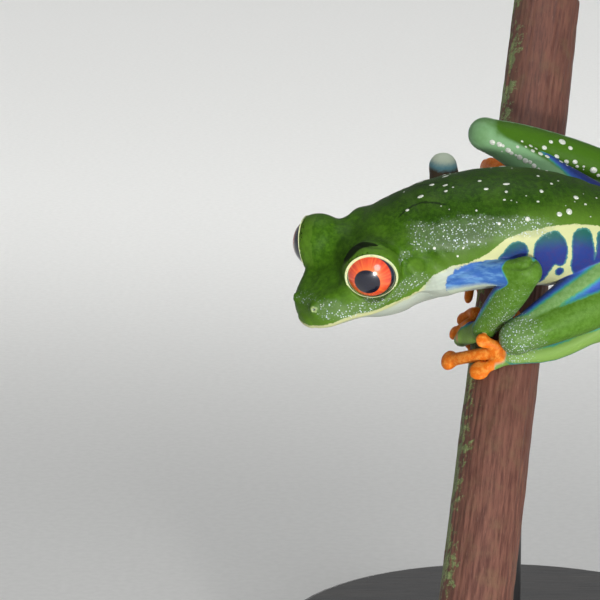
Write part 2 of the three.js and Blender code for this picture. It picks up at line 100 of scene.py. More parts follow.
def rounded_line(rows, steps=3):
    """A smooth line through rows of numbers, with `steps` steps from row to row."""
    rows = np.array(rows, float)
    ends = np.vstack([2 * rows[0] - rows[1], rows, 2 * rows[-1] - rows[-2]])
    line = []
    for i in range(1, len(rows)):
        a, b, c, d = ends[i - 1], ends[i], ends[i + 1], ends[i + 2]
        for t in np.arange(steps) / steps:
            bend, twist = 2 * a - 5 * b + 4 * c - d, 3 * b - a - 3 * c + d
            line.append(0.5 * (2 * b + (c - a) * t + bend * t**2 + twist * t**3))
    line.append(rows[-1])
    return np.array(line)


def unit(v):
    v = np.array(v, float)
    return v / np.linalg.norm(v)


def limb_field(points, line):
    """How far points are from a limb, how far along it they are, and where they stand round it.

    Rows of the line are x, y, z, half width, half height, and the direction of the height."""
    shape = points.shape[:-1]
    points = points.reshape(-1, 3)
    nearest = np.full(len(points), FAR_OFF, np.float32)
    along, across, above = np.zeros((3, len(points)), np.float32)
    count = len(line) - 1
    for i in range(count):
        a, b = line[i], line[i + 1]
        step = b[:3] - a[:3]
        length = np.linalg.norm(step)
        way = step / length
        up = a[5:8] + b[5:8]
        up = unit(up - way * (up @ way))
        side = np.cross(up, way)
        away = points - a[:3].astype(np.float32)
        t = np.clip(away @ (way / length).astype(np.float32), 0, 1)
        wide = a[3] + (b[3] - a[3]) * t
        tall = a[4] + (b[4] - a[4]) * t
        p = away @ side.astype(np.float32)
        q = away @ up.astype(np.float32)
        r = away @ way.astype(np.float32) - t * length
        least = np.minimum(wide, tall)
        reach = np.sqrt((p / wide) ** 2 + (q / tall) ** 2 + (r / least) ** 2) + 1e-6
        steep = np.sqrt((p / wide**2) ** 2 + (q / tall**2) ** 2 + (r / least**2) ** 2) + 1e-6
        far = reach * (reach - 1) / steep
        closer = far < nearest
        nearest = np.where(closer, far, nearest)
        along = np.where(closer, (i + t) / count, along)
        across = np.where(closer, p / wide, across)
        above = np.where(closer, q / tall, above)
    fields = (nearest, along, across, above)
    return tuple(f.astype(np.float32).reshape(shape) for f in fields)


def lay_limb(line, softness=0.3, joint=None, joint_softness=1.5, joint_reach=5.0, press=False):
    """Lays a limb into the clay. Near its joint it flows into what is there, then it only rests."""
    margin = np.max(line[:, 3:5]) + (PRESS_MARGIN if press else LIMB_MARGIN)
    slices, points = part_of_block(line[:, :3].min(0) - margin, line[:, :3].max(0) + margin)
    if joint is not None:
        gap = np.linalg.norm(points - np.array(joint), axis=-1)
        near = 1 - smooth_step(0.35 * joint_reach, joint_reach, gap)
        softness = softness + (joint_softness - softness) * near.astype(np.float32)
    work_clay(slices, limb_field(points, line)[0], softness, press)


head_forward = unit((-0.757, -0.393, -0.522))
head_left = np.array((0.545, -0.821, -0.172))
head_left = unit(head_left - head_forward * (head_left @ head_forward))
head_up = np.cross(head_forward, head_left)
head_axes = np.array([head_forward, head_left, head_up])
trunk_up = unit((0.05, -0.144, 0.988))
trunk_left = unit((0.13, -0.982, -0.149))
neck_up = 0.6 * head_up + 0.4 * trunk_up
chest_up = 0.25 * head_up + 0.75 * trunk_up
trunk = rounded_line(
    [
        (-18.6, -7.0, 61.3, 6.6, 4.6, *head_up),
        (-15.3, -6.2, 63.4, 7.6, 6.2, *neck_up),
        (-10.3, -5.5, 65.0, 8.2, 7.7, *chest_up),
        (-1.3, -4.4, 66.15, 8.9, 8.0, *trunk_up),
        (6.6, -3.4, 65.4, 8.6, 7.25, *trunk_up),
        (14.6, -2.4, 63.8, 6.5, 5.4, *trunk_up),
        (21.0, -1.8, 62.5, 4.2, 3.9, *trunk_up),
        (25.2, -1.5, 61.8, 2.4, 2.3, *trunk_up),
    ]
)
lay_limb(trunk)

# ---- Frog: head -------------------------------------------------------------------------------
# A broad, short-nosed head with turret eyes. The upper lip hangs over the lower jaw all round, a
# ridge runs from each eye to its nostril, and a fold runs from the eye over the eardrum.
head_origin = np.array((-28.2, -11.7, 54.4))
EGG_MARGIN = 2.0


def egg_field(points, centre, half, axes):
    """How far points are from an egg with these half sizes along three axes."""
    local = (points - np.array(centre, np.float32)) @ np.array(axes, np.float32).T
    half = np.array(half, np.float32)
    reach = np.linalg.norm(local / half, axis=-1) + 1e-6
    steep = np.linalg.norm(local / half**2, axis=-1) + 1e-6
    return reach * (reach - 1) / steep


def lay_egg(centre, half, axes, softness, press=False):
    margin = max(half) + (PRESS_MARGIN if press else EGG_MARGIN)
    slices, points = part_of_block(np.array(centre) - margin, np.array(centre) + margin)
    work_clay(slices, egg_field(points, centre, half, axes), softness, press)


def look_up(field, spots):
    """The clay's value at any places, from the marks round them."""
    cell, share = [], []
    for axis, marks in enumerate((block_x, block_y, block_z)):
        i = np.clip(np.searchsorted(marks, spots[:, axis], side="right") - 1, 0, len(marks) - 2)
        cell.append(i)
        share.append((spots[:, axis] - marks[i]) / (marks[i + 1] - marks[i]))
    value = np.zeros(len(spots))
    for i in (0, 1):
        for j in (0, 1):
            for k in (0, 1):
                weight = 1.0
                for bit, s in zip((i, j, k), share):
                    weight = weight * (s if bit else 1 - s)
                value += weight * field[cell[0] + i, cell[1] + j, cell[2] + k]
    return value


def clay_surface(place, way, reach=4.0):
    """Where the clay ends on the line through a place, coming in from outside along `way`."""
    steps = np.arange(reach, -reach, -0.04)
    line = np.array(place) + steps[:, None] * np.array(way)
    inside = np.nonzero(look_up(clay, line) < 0)[0]
    return line[inside[0]]


def in_head(behind, out, height):
    """A place in the head: behind the front of the mouth, out to the left, and above the mouth."""
    return head_origin - head_forward * behind + head_left * out + head_up * height


# Sections of the head: behind the lip, half width, crown above the mouth, chin below it.
head_sections = rounded_line(
    [
        (0.1, 1.75, 1.5, 0.5),
        (0.6, 3.0, 2.5, 0.8),
        (1.5, 4.2, 3.3, 1.2),
        (3.0, 5.3, 3.65, 1.5),
        (5.5, 6.5, 4.15, 2.2),
        (8.5, 7.5, 5.1, 4.6),
        (12.0, 8.2, 5.8, 6.2),
        (15.5, 8.3, 5.5, 5.8),
        (18.0, 7.7, 4.9, 5.6),
        (20.5, 6.4, 4.5, 4.6),
        (23.0, 4.4, 3.2, 3.2),
        (25.5, 1.6, 1.2, 1.2),
    ],
    8,
)
# The mouth line: behind the lip, and its height.
MOUTH_LINE = [
    (0.1, 0.0), (1.5, 0.2), (3.0, 0.35), (5.5, 0.1), (8.5, -0.45),
    (10.0, -0.7), (12.0, -0.95), (13.5, -0.7), (15.5, -0.5), (18.0, -0.2),
]
NOSE_CAP = 0.45
NAPE_CAP = 1.2
NECK_START = 14.0
NECK_BEND = (3.6, -1.4)  # how far the neck's end swings to the left and drops
LIP_DROP = 0.55
LIP_OVERHANG = 0.45
LIP_CREASE = 0.12
JAW_TOP = 0.8
SKULL_SQUARE = 2.15  # 2 is an oval section, and more is squarer
JAW_SQUARE = 2.0
HEAD_BLEND = 0.4
NAPE_BLEND = 3.4


def even_distance(field, slices):
    """Evens a field out so that it gives distances near its zero."""
    marks = [m[s] for m, s in zip((block_x, block_y, block_z), slices)]
    slope = np.sqrt(sum(g**2 for g in np.gradient(field, *marks)))
    return (field / np.maximum(slope, 0.05)).astype(np.float32)


def section_field(behind, out, height, half, top, bottom, square):
    """Below nought inside the head's section, and above it outside."""
    tall = np.where(height > 0, top, bottom)
    past = np.maximum(head_sections[0, 0] - behind, 0) / NOSE_CAP
    past = past + np.maximum(behind - head_sections[-1, 0], 0) / NAPE_CAP
    reach = np.abs(out / half) ** square + np.abs(height / tall) ** square + past**square
    return reach ** (1 / square) - 1


slices, points = part_of_block((-31.5, -20.8, 50), (4, 12, 80))
local = (points - head_origin) @ head_axes.T
behind, out, height = -local[..., 0], local[..., 1], local[..., 2]
bend = (np.maximum(behind - NECK_START, 0) / (head_sections[-1, 0] - NECK_START)) ** 2
out = out - NECK_BEND[0] * bend
height = height - NECK_BEND[1] * bend
half, crown, chin = (
    np.interp(behind, head_sections[:, 0], head_sections[:, k]) for k in (1, 2, 3)
)
mouth = np.interp(behind, *np.array(MOUTH_LINE).T)
raised = height - mouth
upper = section_field(behind, out, raised, half, crown - mouth, LIP_DROP, SKULL_SQUARE)
jaw_half = half - LIP_OVERHANG
lower = section_field(behind, out, raised, jaw_half, JAW_TOP, chin + mouth, JAW_SQUARE)
head = merged(even_distance(upper, slices), even_distance(lower, slices), LIP_CREASE)
nape = smooth_step(9, 17, behind).astype(np.float32)
head = head + OUTSIDE * smooth_step(19.0, 25.0, behind).astype(np.float32)
work_clay(slices, head, HEAD_BLEND + NAPE_BLEND * nape)

# Left is 1 and right is -1. Places in the head are (behind, out, height).
EYE_AT = {1: (9.47, 5.8, 4.65), -1: (9.0, -6.2, 4.7)}
EYE_WAY = {1: (0.604, 0.8, 0.044), -1: (0.604, -0.8, 0.12)}  # ahead, to the left and up
EYE_RADIUS = 3.6
LID_RADIUS = 3.9
LID_OPENING = {1: (3.36, 3.4), -1: (3.45, 3.4)}  # half its length and half its height
NOSTRIL = (1.35, 1.85, 2.8)
EARDRUM = (14.2, 7.2, 2.2)
DRUM_RADIUS = 1.3
DRUM_RIM = 0.26
# Soft masses on each side: (place, half sizes, softness, and whether it is pressed out).
TURRET = ((10.2, 4.0, 4.2), (4.0, 3.2, 2.6), 1.2, False)
CHEEK = ((9.4, 6.0, 1.9), (4.9, 2.5, 2.5), 1.2, False)
EYE_HOLLOW = ((4.6, 7.2, 2.8), (2.6, 1.4, 1.3), 1.8, True)
# The ridge from the eye to the nostril: (behind, out, height, radius).
CANTHUS = [(6.8, 4.6, 3.7, 0.6), (4.4, 3.5, 3.05, 0.5), (2.6, 2.3, 2.6, 0.45), (1.7, 1.7, 2.3, 0.4)]
# A fold over the eardrum and a groove behind it: (behind, height, lift off the skin, radius).
DRUM_FOLD = [
    (13.2, 4.6, -1.1, 0.7),
    (14.4, 4.9, -0.9, 0.85),
    (15.6, 4.2, -0.8, 0.95),
    (16.2, 2.8, -0.85, 0.9),
    (16.3, 1.2, -0.9, 0.7),
]
NECK_GROOVE = [
    (17.0, 4.4, 0.55, 0.35),
    (17.6, 2.7, 0.5, 0.5),
    (17.9, 1.3, 0.5, 0.5),
    (17.5, 0.0, 0.5, 0.5),
    (16.9, -1.2, 0.55, 0.35),
]
# A deep furrow runs behind the upper lid of the left eye, and painted shadow darkens it in the
# colours below: (behind, out, height, radius).
TURRET_FURROW = [
    (9.7, 2.3, 6.8, 0.3),
    (10.0, 3.1, 7.4, 0.45),
    (10.0, 4.1, 7.9, 0.55),
    (10.45, 5.4, 8.1, 0.6),
    (11.3, 6.6, 7.7, 0.55),
    (11.9, 7.2, 7.1, 0.3),
]
FURROW_LIFT = 0.35
near_face = unit((-0.023, -0.980, 0.198))  # the way that the left eye's turret faces


def cheek_line(marks, side):
    """A round line over the side of the head."""
    rows = []
    for b, h, lift, r in marks:
        spot = clay_surface(in_head(b, side * 7.0, h), side * head_left, 5.0)
        rows.append((*(spot + side * head_left * lift), r, r, *head_up))
    return rounded_line(rows, 4)


eye_axes, nostril_at, drum_centre = {}, {}, {}
for side in (1, -1):
    for (b, out, h), size, softness, press in (TURRET, CHEEK, EYE_HOLLOW):
        lay_egg(in_head(b, side * out, h), size, head_axes, softness, press)
    rows = [(*in_head(b, side * o, h), r, r, *head_up) for b, o, h, r in CANTHUS]
    lay_limb(rounded_line(rows, 4), 1.6)
    out_way = unit(EYE_WAY[side]) @ head_axes
    fore_way = unit(head_forward - out_way * (out_way @ head_forward))
    up_way = side * np.cross(fore_way, out_way)
    eye_axes[side] = np.array([fore_way, out_way, up_way])
    eye_at = in_head(*EYE_AT[side])
    lay_egg(eye_at, (LID_RADIUS,) * 3, head_axes, 0.45)
    if side > 0:
        furrow = []
        for b, out, h, r in TURRET_FURROW:
            spot = clay_surface(in_head(b, out, h), near_face, 8.0)
            spot = spot + FURROW_LIFT * unit(spot - eye_at)
            furrow.append((*spot, r, r, *near_face))
        turret_furrow = rounded_line(furrow)
        lay_limb(turret_furrow, 0.2, press=True)

    lay_limb(cheek_line(DRUM_FOLD, side), 2.0)
    lay_limb(cheek_line(NECK_GROOVE, side), 1.0, press=True)
    drum_out = unit((-0.02, side * 0.93, 0.36)) @ head_axes
    drum_fore = unit(head_forward - drum_out * (drum_out @ head_forward))
    drum_up = np.cross(drum_fore, drum_out)
    drum_at = clay_surface(in_head(EARDRUM[0], side * EARDRUM[1], EARDRUM[2]), drum_out)
    drum_centre[side] = drum_at
    ring = []
    for turn in np.linspace(0, 2 * np.pi, 13):
        spot = drum_at + DRUM_RADIUS * (np.cos(turn) * drum_fore + np.sin(turn) * drum_up)
        spot = clay_surface(spot, drum_out)
        ring.append((*(spot - 0.2 * drum_out), DRUM_RIM, DRUM_RIM, *drum_out))
    lay_limb(rounded_line(ring, 2), 0.5)
    mound = clay_surface(in_head(NOSTRIL[0], side * NOSTRIL[1], NOSTRIL[2]), out_way)
    lay_egg(mound - 0.35 * out_way, (0.55,) * 3, head_axes, 0.5)
    nostril_at[side] = clay_surface(mound, out_way)

# ---- Frog: limbs ------------------------------------------------------------------------------
# The arms are folded under the chest and the legs are drawn up beside the body, as the frog sits
# across the stem. Each limb is round and muscular above and thin at its wrist or ankle.
arms = {
    1: {"shoulder": (-9.8, -11.0, 60.8), "elbow": (0.9, -14.4, 61.9), "wrist": (-4.2, -7.8, 52.7)},
    -1: {"shoulder": (-11.4, 0.0, 62.6), "elbow": (-9.2, 8.6, 72.2), "wrist": (-5.9, 4.4, 59.6)},
}
legs = {
    1: {
        "hip": (18.9, -5.7, 65.05),
        "knee": (-0.2, -12.4, 52.5),
        "ankle": (23.3, -8.3, 60.9),
        "heel": (10.9, -8.3, 52.5),
        "arch": (5.0, -9.2, 50.1),
        "sole": (-0.6, -10.4, 49.9),
    },
    -1: {
        "hip": (18.6, 1.2, 63.6),
        "knee": (-3.5, 7.2, 76.9),
        "ankle": (23.2, 10.9, 68.6),
        "heel": (10.9, 14.2, 70.2),
        "arch": (5.8, 13.9, 70.9),
        "sole": (0.6, 13.2, 71.6),
    },
}


def limb_line(start, end, sizes, up):
    """A limb from start to end, with (share of the way, half width, half height) along it."""
    start, end = np.array(start), np.array(end)
    rows = [(*(start + (end - start) * share), wide, tall, *up) for share, wide, tall in sizes]
    return rounded_line(rows)


UPPER_ARM = [(0, 2.5, 2.3), (0.35, 1.95, 1.85), (0.7, 1.7, 1.7), (1, 1.85, 1.85)]
FOREARM = [(0, 2.0, 1.9), (0.3, 2.3, 2.15), (0.65, 2.15, 1.95), (1, 1.6, 1.4)]
THIGHS = {
    1: [(-0.08, 2.9, 2.9), (0.2, 3.3, 3.1), (0.55, 2.9, 2.7), (0.85, 2.4, 2.2), (1, 2.15, 2.1)],
    -1: [(-0.08, 2.9, 2.9), (0.2, 3.0, 3.1), (0.55, 2.5, 2.7), (0.85, 2.15, 2.2), (1, 2.1, 2.1)],
}
SHANKS = {
    1: [(0, 2.1, 2.4), (0.18, 2.55, 2.95), (0.45, 2.85, 2.8), (0.8, 2.25, 1.95), (1, 1.8, 1.7)],
    -1: [(0, 2.2, 2.4), (0.18, 2.8, 2.9), (0.45, 2.85, 2.8), (0.8, 2.1, 1.95), (1, 1.7, 1.7)],
}
TARSUS = [(0, 1.5, 1.5), (0.3, 1.4, 1.45), (0.7, 1.25, 1.4), (1, 1.45, 1.3)]
ARM_STOUT = {1: 1.0, -1: 0.9}
limbs = {}
for side in (1, -1):
    arm, leg = arms[side], legs[side]
    limbs["upper_arm", side] = limb_line(arm["shoulder"], arm["elbow"], UPPER_ARM, trunk_up)
    limbs["forearm", side] = limb_line(arm["elbow"], arm["wrist"], FOREARM, trunk_left)
    for name in ("upper_arm", "forearm"):
        limbs[name, side][:, 3:5] *= ARM_STOUT[side]
    limbs["thigh", side] = limb_line(leg["hip"], leg["knee"], THIGHS[side], trunk_left)
    limbs["shank", side] = limb_line(leg["knee"], leg["ankle"], SHANKS[side], trunk_left)
    limbs["tarsus", side] = limb_line(leg["ankle"], leg["heel"], TARSUS, trunk_left)
    lay_limb(limbs["upper_arm", side], 0.35, arm["shoulder"], 2.6, 7.0)
    lay_limb(limbs["forearm", side], 0.2, arm["elbow"], 0.9, 4.0)
    lay_limb(limbs["thigh", side], 0.25, leg["hip"], 2.4, 8.0)
    lay_limb(limbs["shank", side], 0.15, leg["knee"], 0.9, 4.2)
    lay_limb(limbs["tarsus", side], 0.15, leg["ankle"], 0.8, 3.0)

# The crease over the left upper arm, where it meets the flank: (x, z, radius).
ARM_CREASE = [
    (-2.9, 62.95, 0.2),
    (-1.6, 63.2, 0.3),
    (-0.6, 63.4, 0.36),
    (0.5, 63.65, 0.34),
    (1.7, 64.0, 0.22),
]
ARM_OUTSIDE = -12.0  # y of a plane outside the arm
crease = []
for x, z, r in ARM_CREASE:
    spot = clay_surface((x, ARM_OUTSIDE, z), trunk_left, 6.0)
    crease.append((*spot, r, r, *trunk_left))
lay_limb(rounded_line(crease), 0.2, press=True)

# ---- Frog: hands and feet ---------------------------------------------------------------------
# Each finger and toe ends in a flat round climbing disc. They lie on the bark or grip round it, so
# each is placed by how far up the stem it is, its angle round the stem, and its height off it.
STEM_RADIUS = 4.9
stem_low = np.array((-6.1, -29.2, 21.3))
stem_high = np.array((7.4, 40.0, 91.7))
stem_length = np.linalg.norm(stem_high - stem_low)
stem_axis = unit(stem_high - stem_low)
stem_near = np.array((0.085, -0.719, 0.69))
stem_near = unit(stem_near - stem_axis * (stem_near @ stem_axis))
stem_left = np.cross(stem_near, stem_axis)


def on_stem(along, degrees, height):
    """A place on the stem and the direction out of the bark there."""
    turn = np.radians(degrees)
    out = np.cos(turn) * stem_near + np.sin(turn) * stem_left
    return stem_low + stem_axis * along + out * (STEM_RADIUS + height), out


FINGER_RADIUS = 0.76
TOE_RADIUS = 0.82
INSTEP = [("heel", 1.4, 1.3), ("arch", 1.5, 1.2), ("sole", 1.6, 1.05)]
OUTER_TOE = {
    1: [(33.9, -12, 1.0), (33.4, 0, 1.0), (32.6, 15, 0.8)],
    -1: [(66.2, 4, 1.0), (66.6, 16, 1.0), (67.4, 30, 0.8)],
}
DISC_THICK = 0.62
DIGIT_SWELL = (1.2, 0.95, 0.9, 0.9)  # a digit's radius at each of its marks, as a share
# Palm marks are (up the stem, degrees round it, height, half width). A digit has marks of
# (up the stem, degrees, height), its disc's radius and, where it isn't 1, how stout it is.
hands = {
    1: {
        "palm": [(38.3, 52, 1.1, 1.7), (39.0, 76, 1.0, 1.4), (38.9, 92, 1.4, 0.75)],
        "digits": [
            ([(39.0, 40, 1.2), (39.8, 24, 1.0), (40.2, 10, 0.9)], 1.1),
            ([(41.9, 60, 0.7), (42.75, 76, 0.65), (42.75, 88, 1.1)], 0.95),
            ([(40.3, 70, 1.0), (40.75, 82, 1.2), (40.7, 92, 1.75)], 1.05),
            ([(38.9, 82, 1.2), (40.2, 104, 1.0), (40.6, 126, 0.9)], 1.2),
        ],
    },
    -1: {
        "palm": [(50.2, 66, 1.5, 1.6), (50.0, 74, 1.3, 1.8), (49.8, 80, 1.2, 2.0)],
        "digits": [
            ([(48.8, 62, 1.2), (46.8, 38, 1.0), (45.6, 18, 0.9)], 1.1),
            ([(49.4, 78, 1.1), (48.4, 86, 1.0), (47.6, 91, 1.0)], 1.1),
            ([(50.6, 86, 1.1), (51.0, 108, 1.0), (50.8, 128, 0.9)], 1.3),
            ([(51.6, 78, 1.1), (53.4, 96, 1.0), (54.0, 116, 0.9)], 1.2),
        ],
    },
}
feet = {
    1: {
        "palm": [(34.3, -2, 1.3, 1.2), (34.5, 8, 1.1, 1.15), (34.5, 18, 1.0, 1.05)],
        "digits": [
            ([(34.8, 4, 1.1), (35.3, -10, 1.0), (35.4, -24, 0.9)], 1.1),
            ([(35.4, 10, 1.1), (36.5, 5, 1.0), (37.3, 0, 0.9)], 1.1),
            ([(34.6, 11, 1.6), (34.6, 16, 2.3), (34.7, 21.5, 2.8)], 1.05),
            ([(34.5, 14, 1.0), (34.3, 36, 1.0), (34.6, 60, 1.2), (35.1, 80, 1.9)], 1.4, 1.2),
            ([(33.6, 4, 1.1), (32.7, 16, 0.9), (32.3, 24, 0.9)], 1.5),
        ],
    },
    -1: {
        "palm": [(62.6, 8, 1.7, 1.4), (63.6, 26, 1.3, 1.5), (64.4, 40, 1.2, 1.4)],
        "digits": [
            ([(63.0, 28, 1.1), (61.6, 44, 1.0), (60.6, 60, 0.9)], 1.1),
            ([(63.6, 38, 1.1), (63.4, 62, 1.0), (63.0, 82, 0.9)], 1.15),
            ([(64.4, 44, 1.1), (65.4, 72, 1.0), (65.8, 98, 0.9)], 1.3),
            ([(65.2, 40, 1.1), (67.4, 66, 1.0), (68.6, 94, 0.9)], 1.35),
            ([(65.4, 28, 1.1), (68.0, 40, 1.0), (70.2, 54, 0.9)], 1.35),
        ],
    },
}
extremities = []  # the line of each foot's palm and each digit, and whether it is a palm


def lay_digit(marks, radius, disc, thick):
    """Lays a finger or toe with its climbing disc."""
    places = [on_stem(*mark) for mark in marks]
    tip, tip_out = places[-1]
    lead = unit(tip - places[-2][0])
    rows = [(*at, radius * s, radius * s * 0.95, *out) for (at, out), s in zip(places, DIGIT_SWELL)]
    centre = tip + lead * disc * 0.95
    rows.append((*(tip + lead * disc * 0.35), radius * 0.95, thick * 0.95, *tip_out))
    line = rounded_line(rows)
    lay_limb(line, 0.2, places[0][0], 0.7, 3.2)
    flat = unit(tip_out - lead * (tip_out @ lead))
    disc_axes = np.array([lead, np.cross(flat, lead), flat])
    lay_egg(centre, (disc * 0.98, disc, thick), disc_axes, 0.3)
    extremities.append((np.vstack([line, (*centre, disc, thick, *flat)]), False))


for side in (1, -1):
    for kind, start, layout, radius in (
        ("finger", arms[side]["wrist"], hands[side], FINGER_RADIUS),
        ("toe", legs[side]["sole"], feet[side], TOE_RADIUS),
    ):
        places = [on_stem(*mark[:3]) for mark in layout["palm"]]
        rows = [(*at, mark[3], 0.95, *out) for (at, out), mark in zip(places, layout["palm"])]
        rows.insert(0, (*start, 1.28, 1.0, *places[0][1]))
        palm = rounded_line(rows)
        if kind == "toe":
            leg = legs[side]
            line = rounded_line([(*leg[n], w, t, *stem_near) for n, w, t in INSTEP])
            limbs["instep", side] = line
            lay_limb(line, 0.15, leg["heel"], 0.8, 3.0)
        lay_limb(palm, 0.2, start, 0.9, 3.5)
        if kind == "finger":
            limbs["outer_palm", side] = palm
        else:
            outer = [on_stem(*mark) for mark in OUTER_TOE[side]]
            limbs["outer_toe", side] = rounded_line([(*at, 0.85, 0.75, *out) for at, out in outer])
            extremities.append((palm, True))
        for marks, disc, *rest in layout["digits"]:
            stout = rest[0] if rest else 1
            lay_digit(marks, radius * stout, disc, DISC_THICK * stout**2)

# ---- Frog: skin -------------------------------------------------------------------------------
# One closed skin over the clay. It is cut open over each eye, where the lids end, and rests on
# the stem.
for side in (1, -1):
    eye_at = in_head(*EYE_AT[side])
    slices, points = part_of_block(eye_at - 6, eye_at + 6)
    local = (points - eye_at) @ eye_axes[side].T
    long, tall = LID_OPENING[side]
    cone = np.hypot(local[..., 0] / long, local[..., 2] / tall)
    opening = np.maximum(even_distance(cone - 1, slices), 0.5 - local[..., 1])
    work_clay(slices, opening, 0.15, press=True)


def skin_over(field):
    """A closed skin of quads where the clay's value is nought."""
    inside = field < 0
    full = np.zeros(np.array(field.shape) - 1, np.int8)
    a, b, c = full.shape
    corners = np.array([(i, j, k) for i in (0, 1) for j in (0, 1) for k in (0, 1)])
    for i, j, k in corners:
        full += inside[i : i + a, j : j + b, k : k + c]
    crossed = (full > 0) & (full < 8)
    number = np.full(full.shape, -1, np.int64)
    number[crossed] = np.arange(crossed.sum())
    cells = np.argwhere(crossed)
    values = np.stack([field[tuple((cells + c).T)] for c in corners], 1)
    total = np.zeros((len(cells), 3))
    hits = np.zeros(len(cells))
    for a in range(8):
        for b in range(a + 1, 8):
            if np.abs(corners[a] - corners[b]).sum() != 1:
                continue
            va, vb = values[:, a], values[:, b]
            hit = (va < 0) != (vb < 0)
            t = np.where(hit, va / np.where(hit, va - vb, 1), 0)
            total += np.where(hit[:, None], corners[a] + t[:, None] * (corners[b] - corners[a]), 0)
            hits += hit
    local = total / hits[:, None]
    spots = np.empty_like(local)
    for axis, marks in enumerate((block_x, block_y, block_z)):
        low = marks[cells[:, axis]]
        spots[:, axis] = low + local[:, axis] * (marks[cells[:, axis] + 1] - low)
    quads = []
    for axis in range(3):
        first = [slice(None)] * 3
        second = [slice(None)] * 3
        first[axis], second[axis] = slice(None, -1), slice(1, None)
        start, end = inside[tuple(first)], inside[tuple(second)]
        for outward, mask in ((True, start & ~end), (False, ~start & end)):
            at = np.argwhere(mask)
            u, v = np.roll(np.eye(3, dtype=int), -axis - 1, 0)[:2]
            ring = [number[tuple((at - move).T)] for move in (u + v, v, 0 * u, u)]
            quads.append(np.stack(ring if outward else ring[::-1], 1))
    return spots, np.concatenate(quads)


SETTLE_REACH = 0.12
SETTLE_MOVE = 0.2


def settle(field, spots, quads, rounds):
    """Evens the skin's quads out and draws them back onto the clay."""
    start, end = np.concatenate([quads[:, [k, (k + 1) % 4]] for k in range(4)]).T
    count = np.bincount(start, minlength=len(spots))[:, None]
    steps = SETTLE_REACH * np.eye(3)
    for _ in range(rounds):
        mean = np.stack([np.bincount(start, spots[end, k], len(spots)) for k in range(3)], 1)
        spots = spots + 0.6 * (mean / count - spots)
        rise = [look_up(field, spots + step) - look_up(field, spots - step) for step in steps]
        slope = np.stack(rise, 1) / (2 * SETTLE_REACH)
        size = np.maximum((slope**2).sum(1), 0.2)
        move = np.clip(look_up(field, spots) / size, -SETTLE_MOVE, SETTLE_MOVE)
        spots = spots - slope * move[:, None]
    return spots


skin_spots, skin_quads = skin_over(clay)
skin_spots = settle(clay, skin_spots, skin_quads, 3)

# Each nostril is a small pit with a low rim round it, worked into a finer mesh.
NOSTRIL_RING = 0.42
NOSTRIL_RISE = 0.06
NOSTRIL_DEEP = 0.22
NOSTRIL_PIT = 0.17
cover = bmesh.new()
for spot in skin_spots:
    cover.verts.new(spot)
cover.verts.ensure_lookup_table()
for quad in skin_quads:
    cover.faces.new([cover.verts[i] for i in quad])
for side in (1, -1):
    centre = Vector(nostril_at[side])
    near = {e for v in cover.verts if (v.co - centre).length < 1.0 for e in v.link_edges}
    bmesh.ops.subdivide_edges(cover, edges=list(near), cuts=3, use_grid_fill=True)
    inward = Vector(-eye_axes[side][1])
    for v in cover.verts:
        gap = (v.co - centre).length
        if gap < 3 * NOSTRIL_RING:
            rise = NOSTRIL_RISE * np.exp(-(((gap - NOSTRIL_RING) / 0.14) ** 2))
            v.co += inward * (NOSTRIL_DEEP * np.exp(-((gap / NOSTRIL_PIT) ** 4)) - rise)
skin_spots = np.array([v.co[:] for v in cover.verts])
cover.verts.index_update()
skin_faces = [[v.index for v in f.verts] for f in cover.faces]
cover.free()

# ---- Frog: where each colour lies on the skin -------------------------------------------------
# The back is leaf green down to a cream stripe. Below it the flank is blue, barred with cream, and
# the belly is white. Limbs are green outside and blue inside, and the hands and feet are orange.
# Each marking is stored on the skin as how far inside it a spot is, in millimetres.
trunk_at = np.array((0, -4.4, 65.9))
trunk_fore = np.cross(trunk_left, trunk_up)
ahead, above = ((skin_spots - trunk_at) @ axis for axis in (trunk_fore, trunk_up))
in_head_spots = (skin_spots - head_origin) @ head_axes.T
behind, out, height = -in_head_spots[:, 0], in_head_spots[:, 1], in_head_spots[:, 2]


def table(marks, at):
    """Reads a table of (place, value) marks, in rising order of place."""
    marks = np.array(sorted(marks), float)
    return np.interp(at, marks[:, 0], marks[:, 1])


def inside_outline(outline, x, y):
    """How far places are inside a closed outline, and below nought outside it."""
    outline = np.array(outline, float)
    nearest = np.full(len(x), 1e3)
    within = np.zeros(len(x), bool)
    for (ax, ay), (bx, by) in zip(outline, np.roll(outline, -1, 0)):
        ex, ey = bx - ax, by - ay
        t = np.clip(((x - ax) * ex + (y - ay) * ey) / (ex * ex + ey * ey), 0, 1)
        nearest = np.minimum(nearest, np.hypot(x - ax - t * ex, y - ay - t * ey))
        crosses = ((ay > y) != (by > y)) & (x < ax + ex * (y - ay) / np.where(ey == 0, 1e-9, ey))
        within ^= crosses
    return np.where(within, nearest, -nearest)


def rounded_outline(outline, rounds=2):
    """Cuts an outline's corners, so that it has no sharp ones."""
    outline = np.array(outline, float)
    for _ in range(rounds):
        ahead = np.roll(outline, -1, 0)
        cuts = [0.75 * outline + 0.25 * ahead, 0.25 * outline + 0.75 * ahead]
        outline = np.stack(cuts, 1).reshape(-1, 2)
    return outline


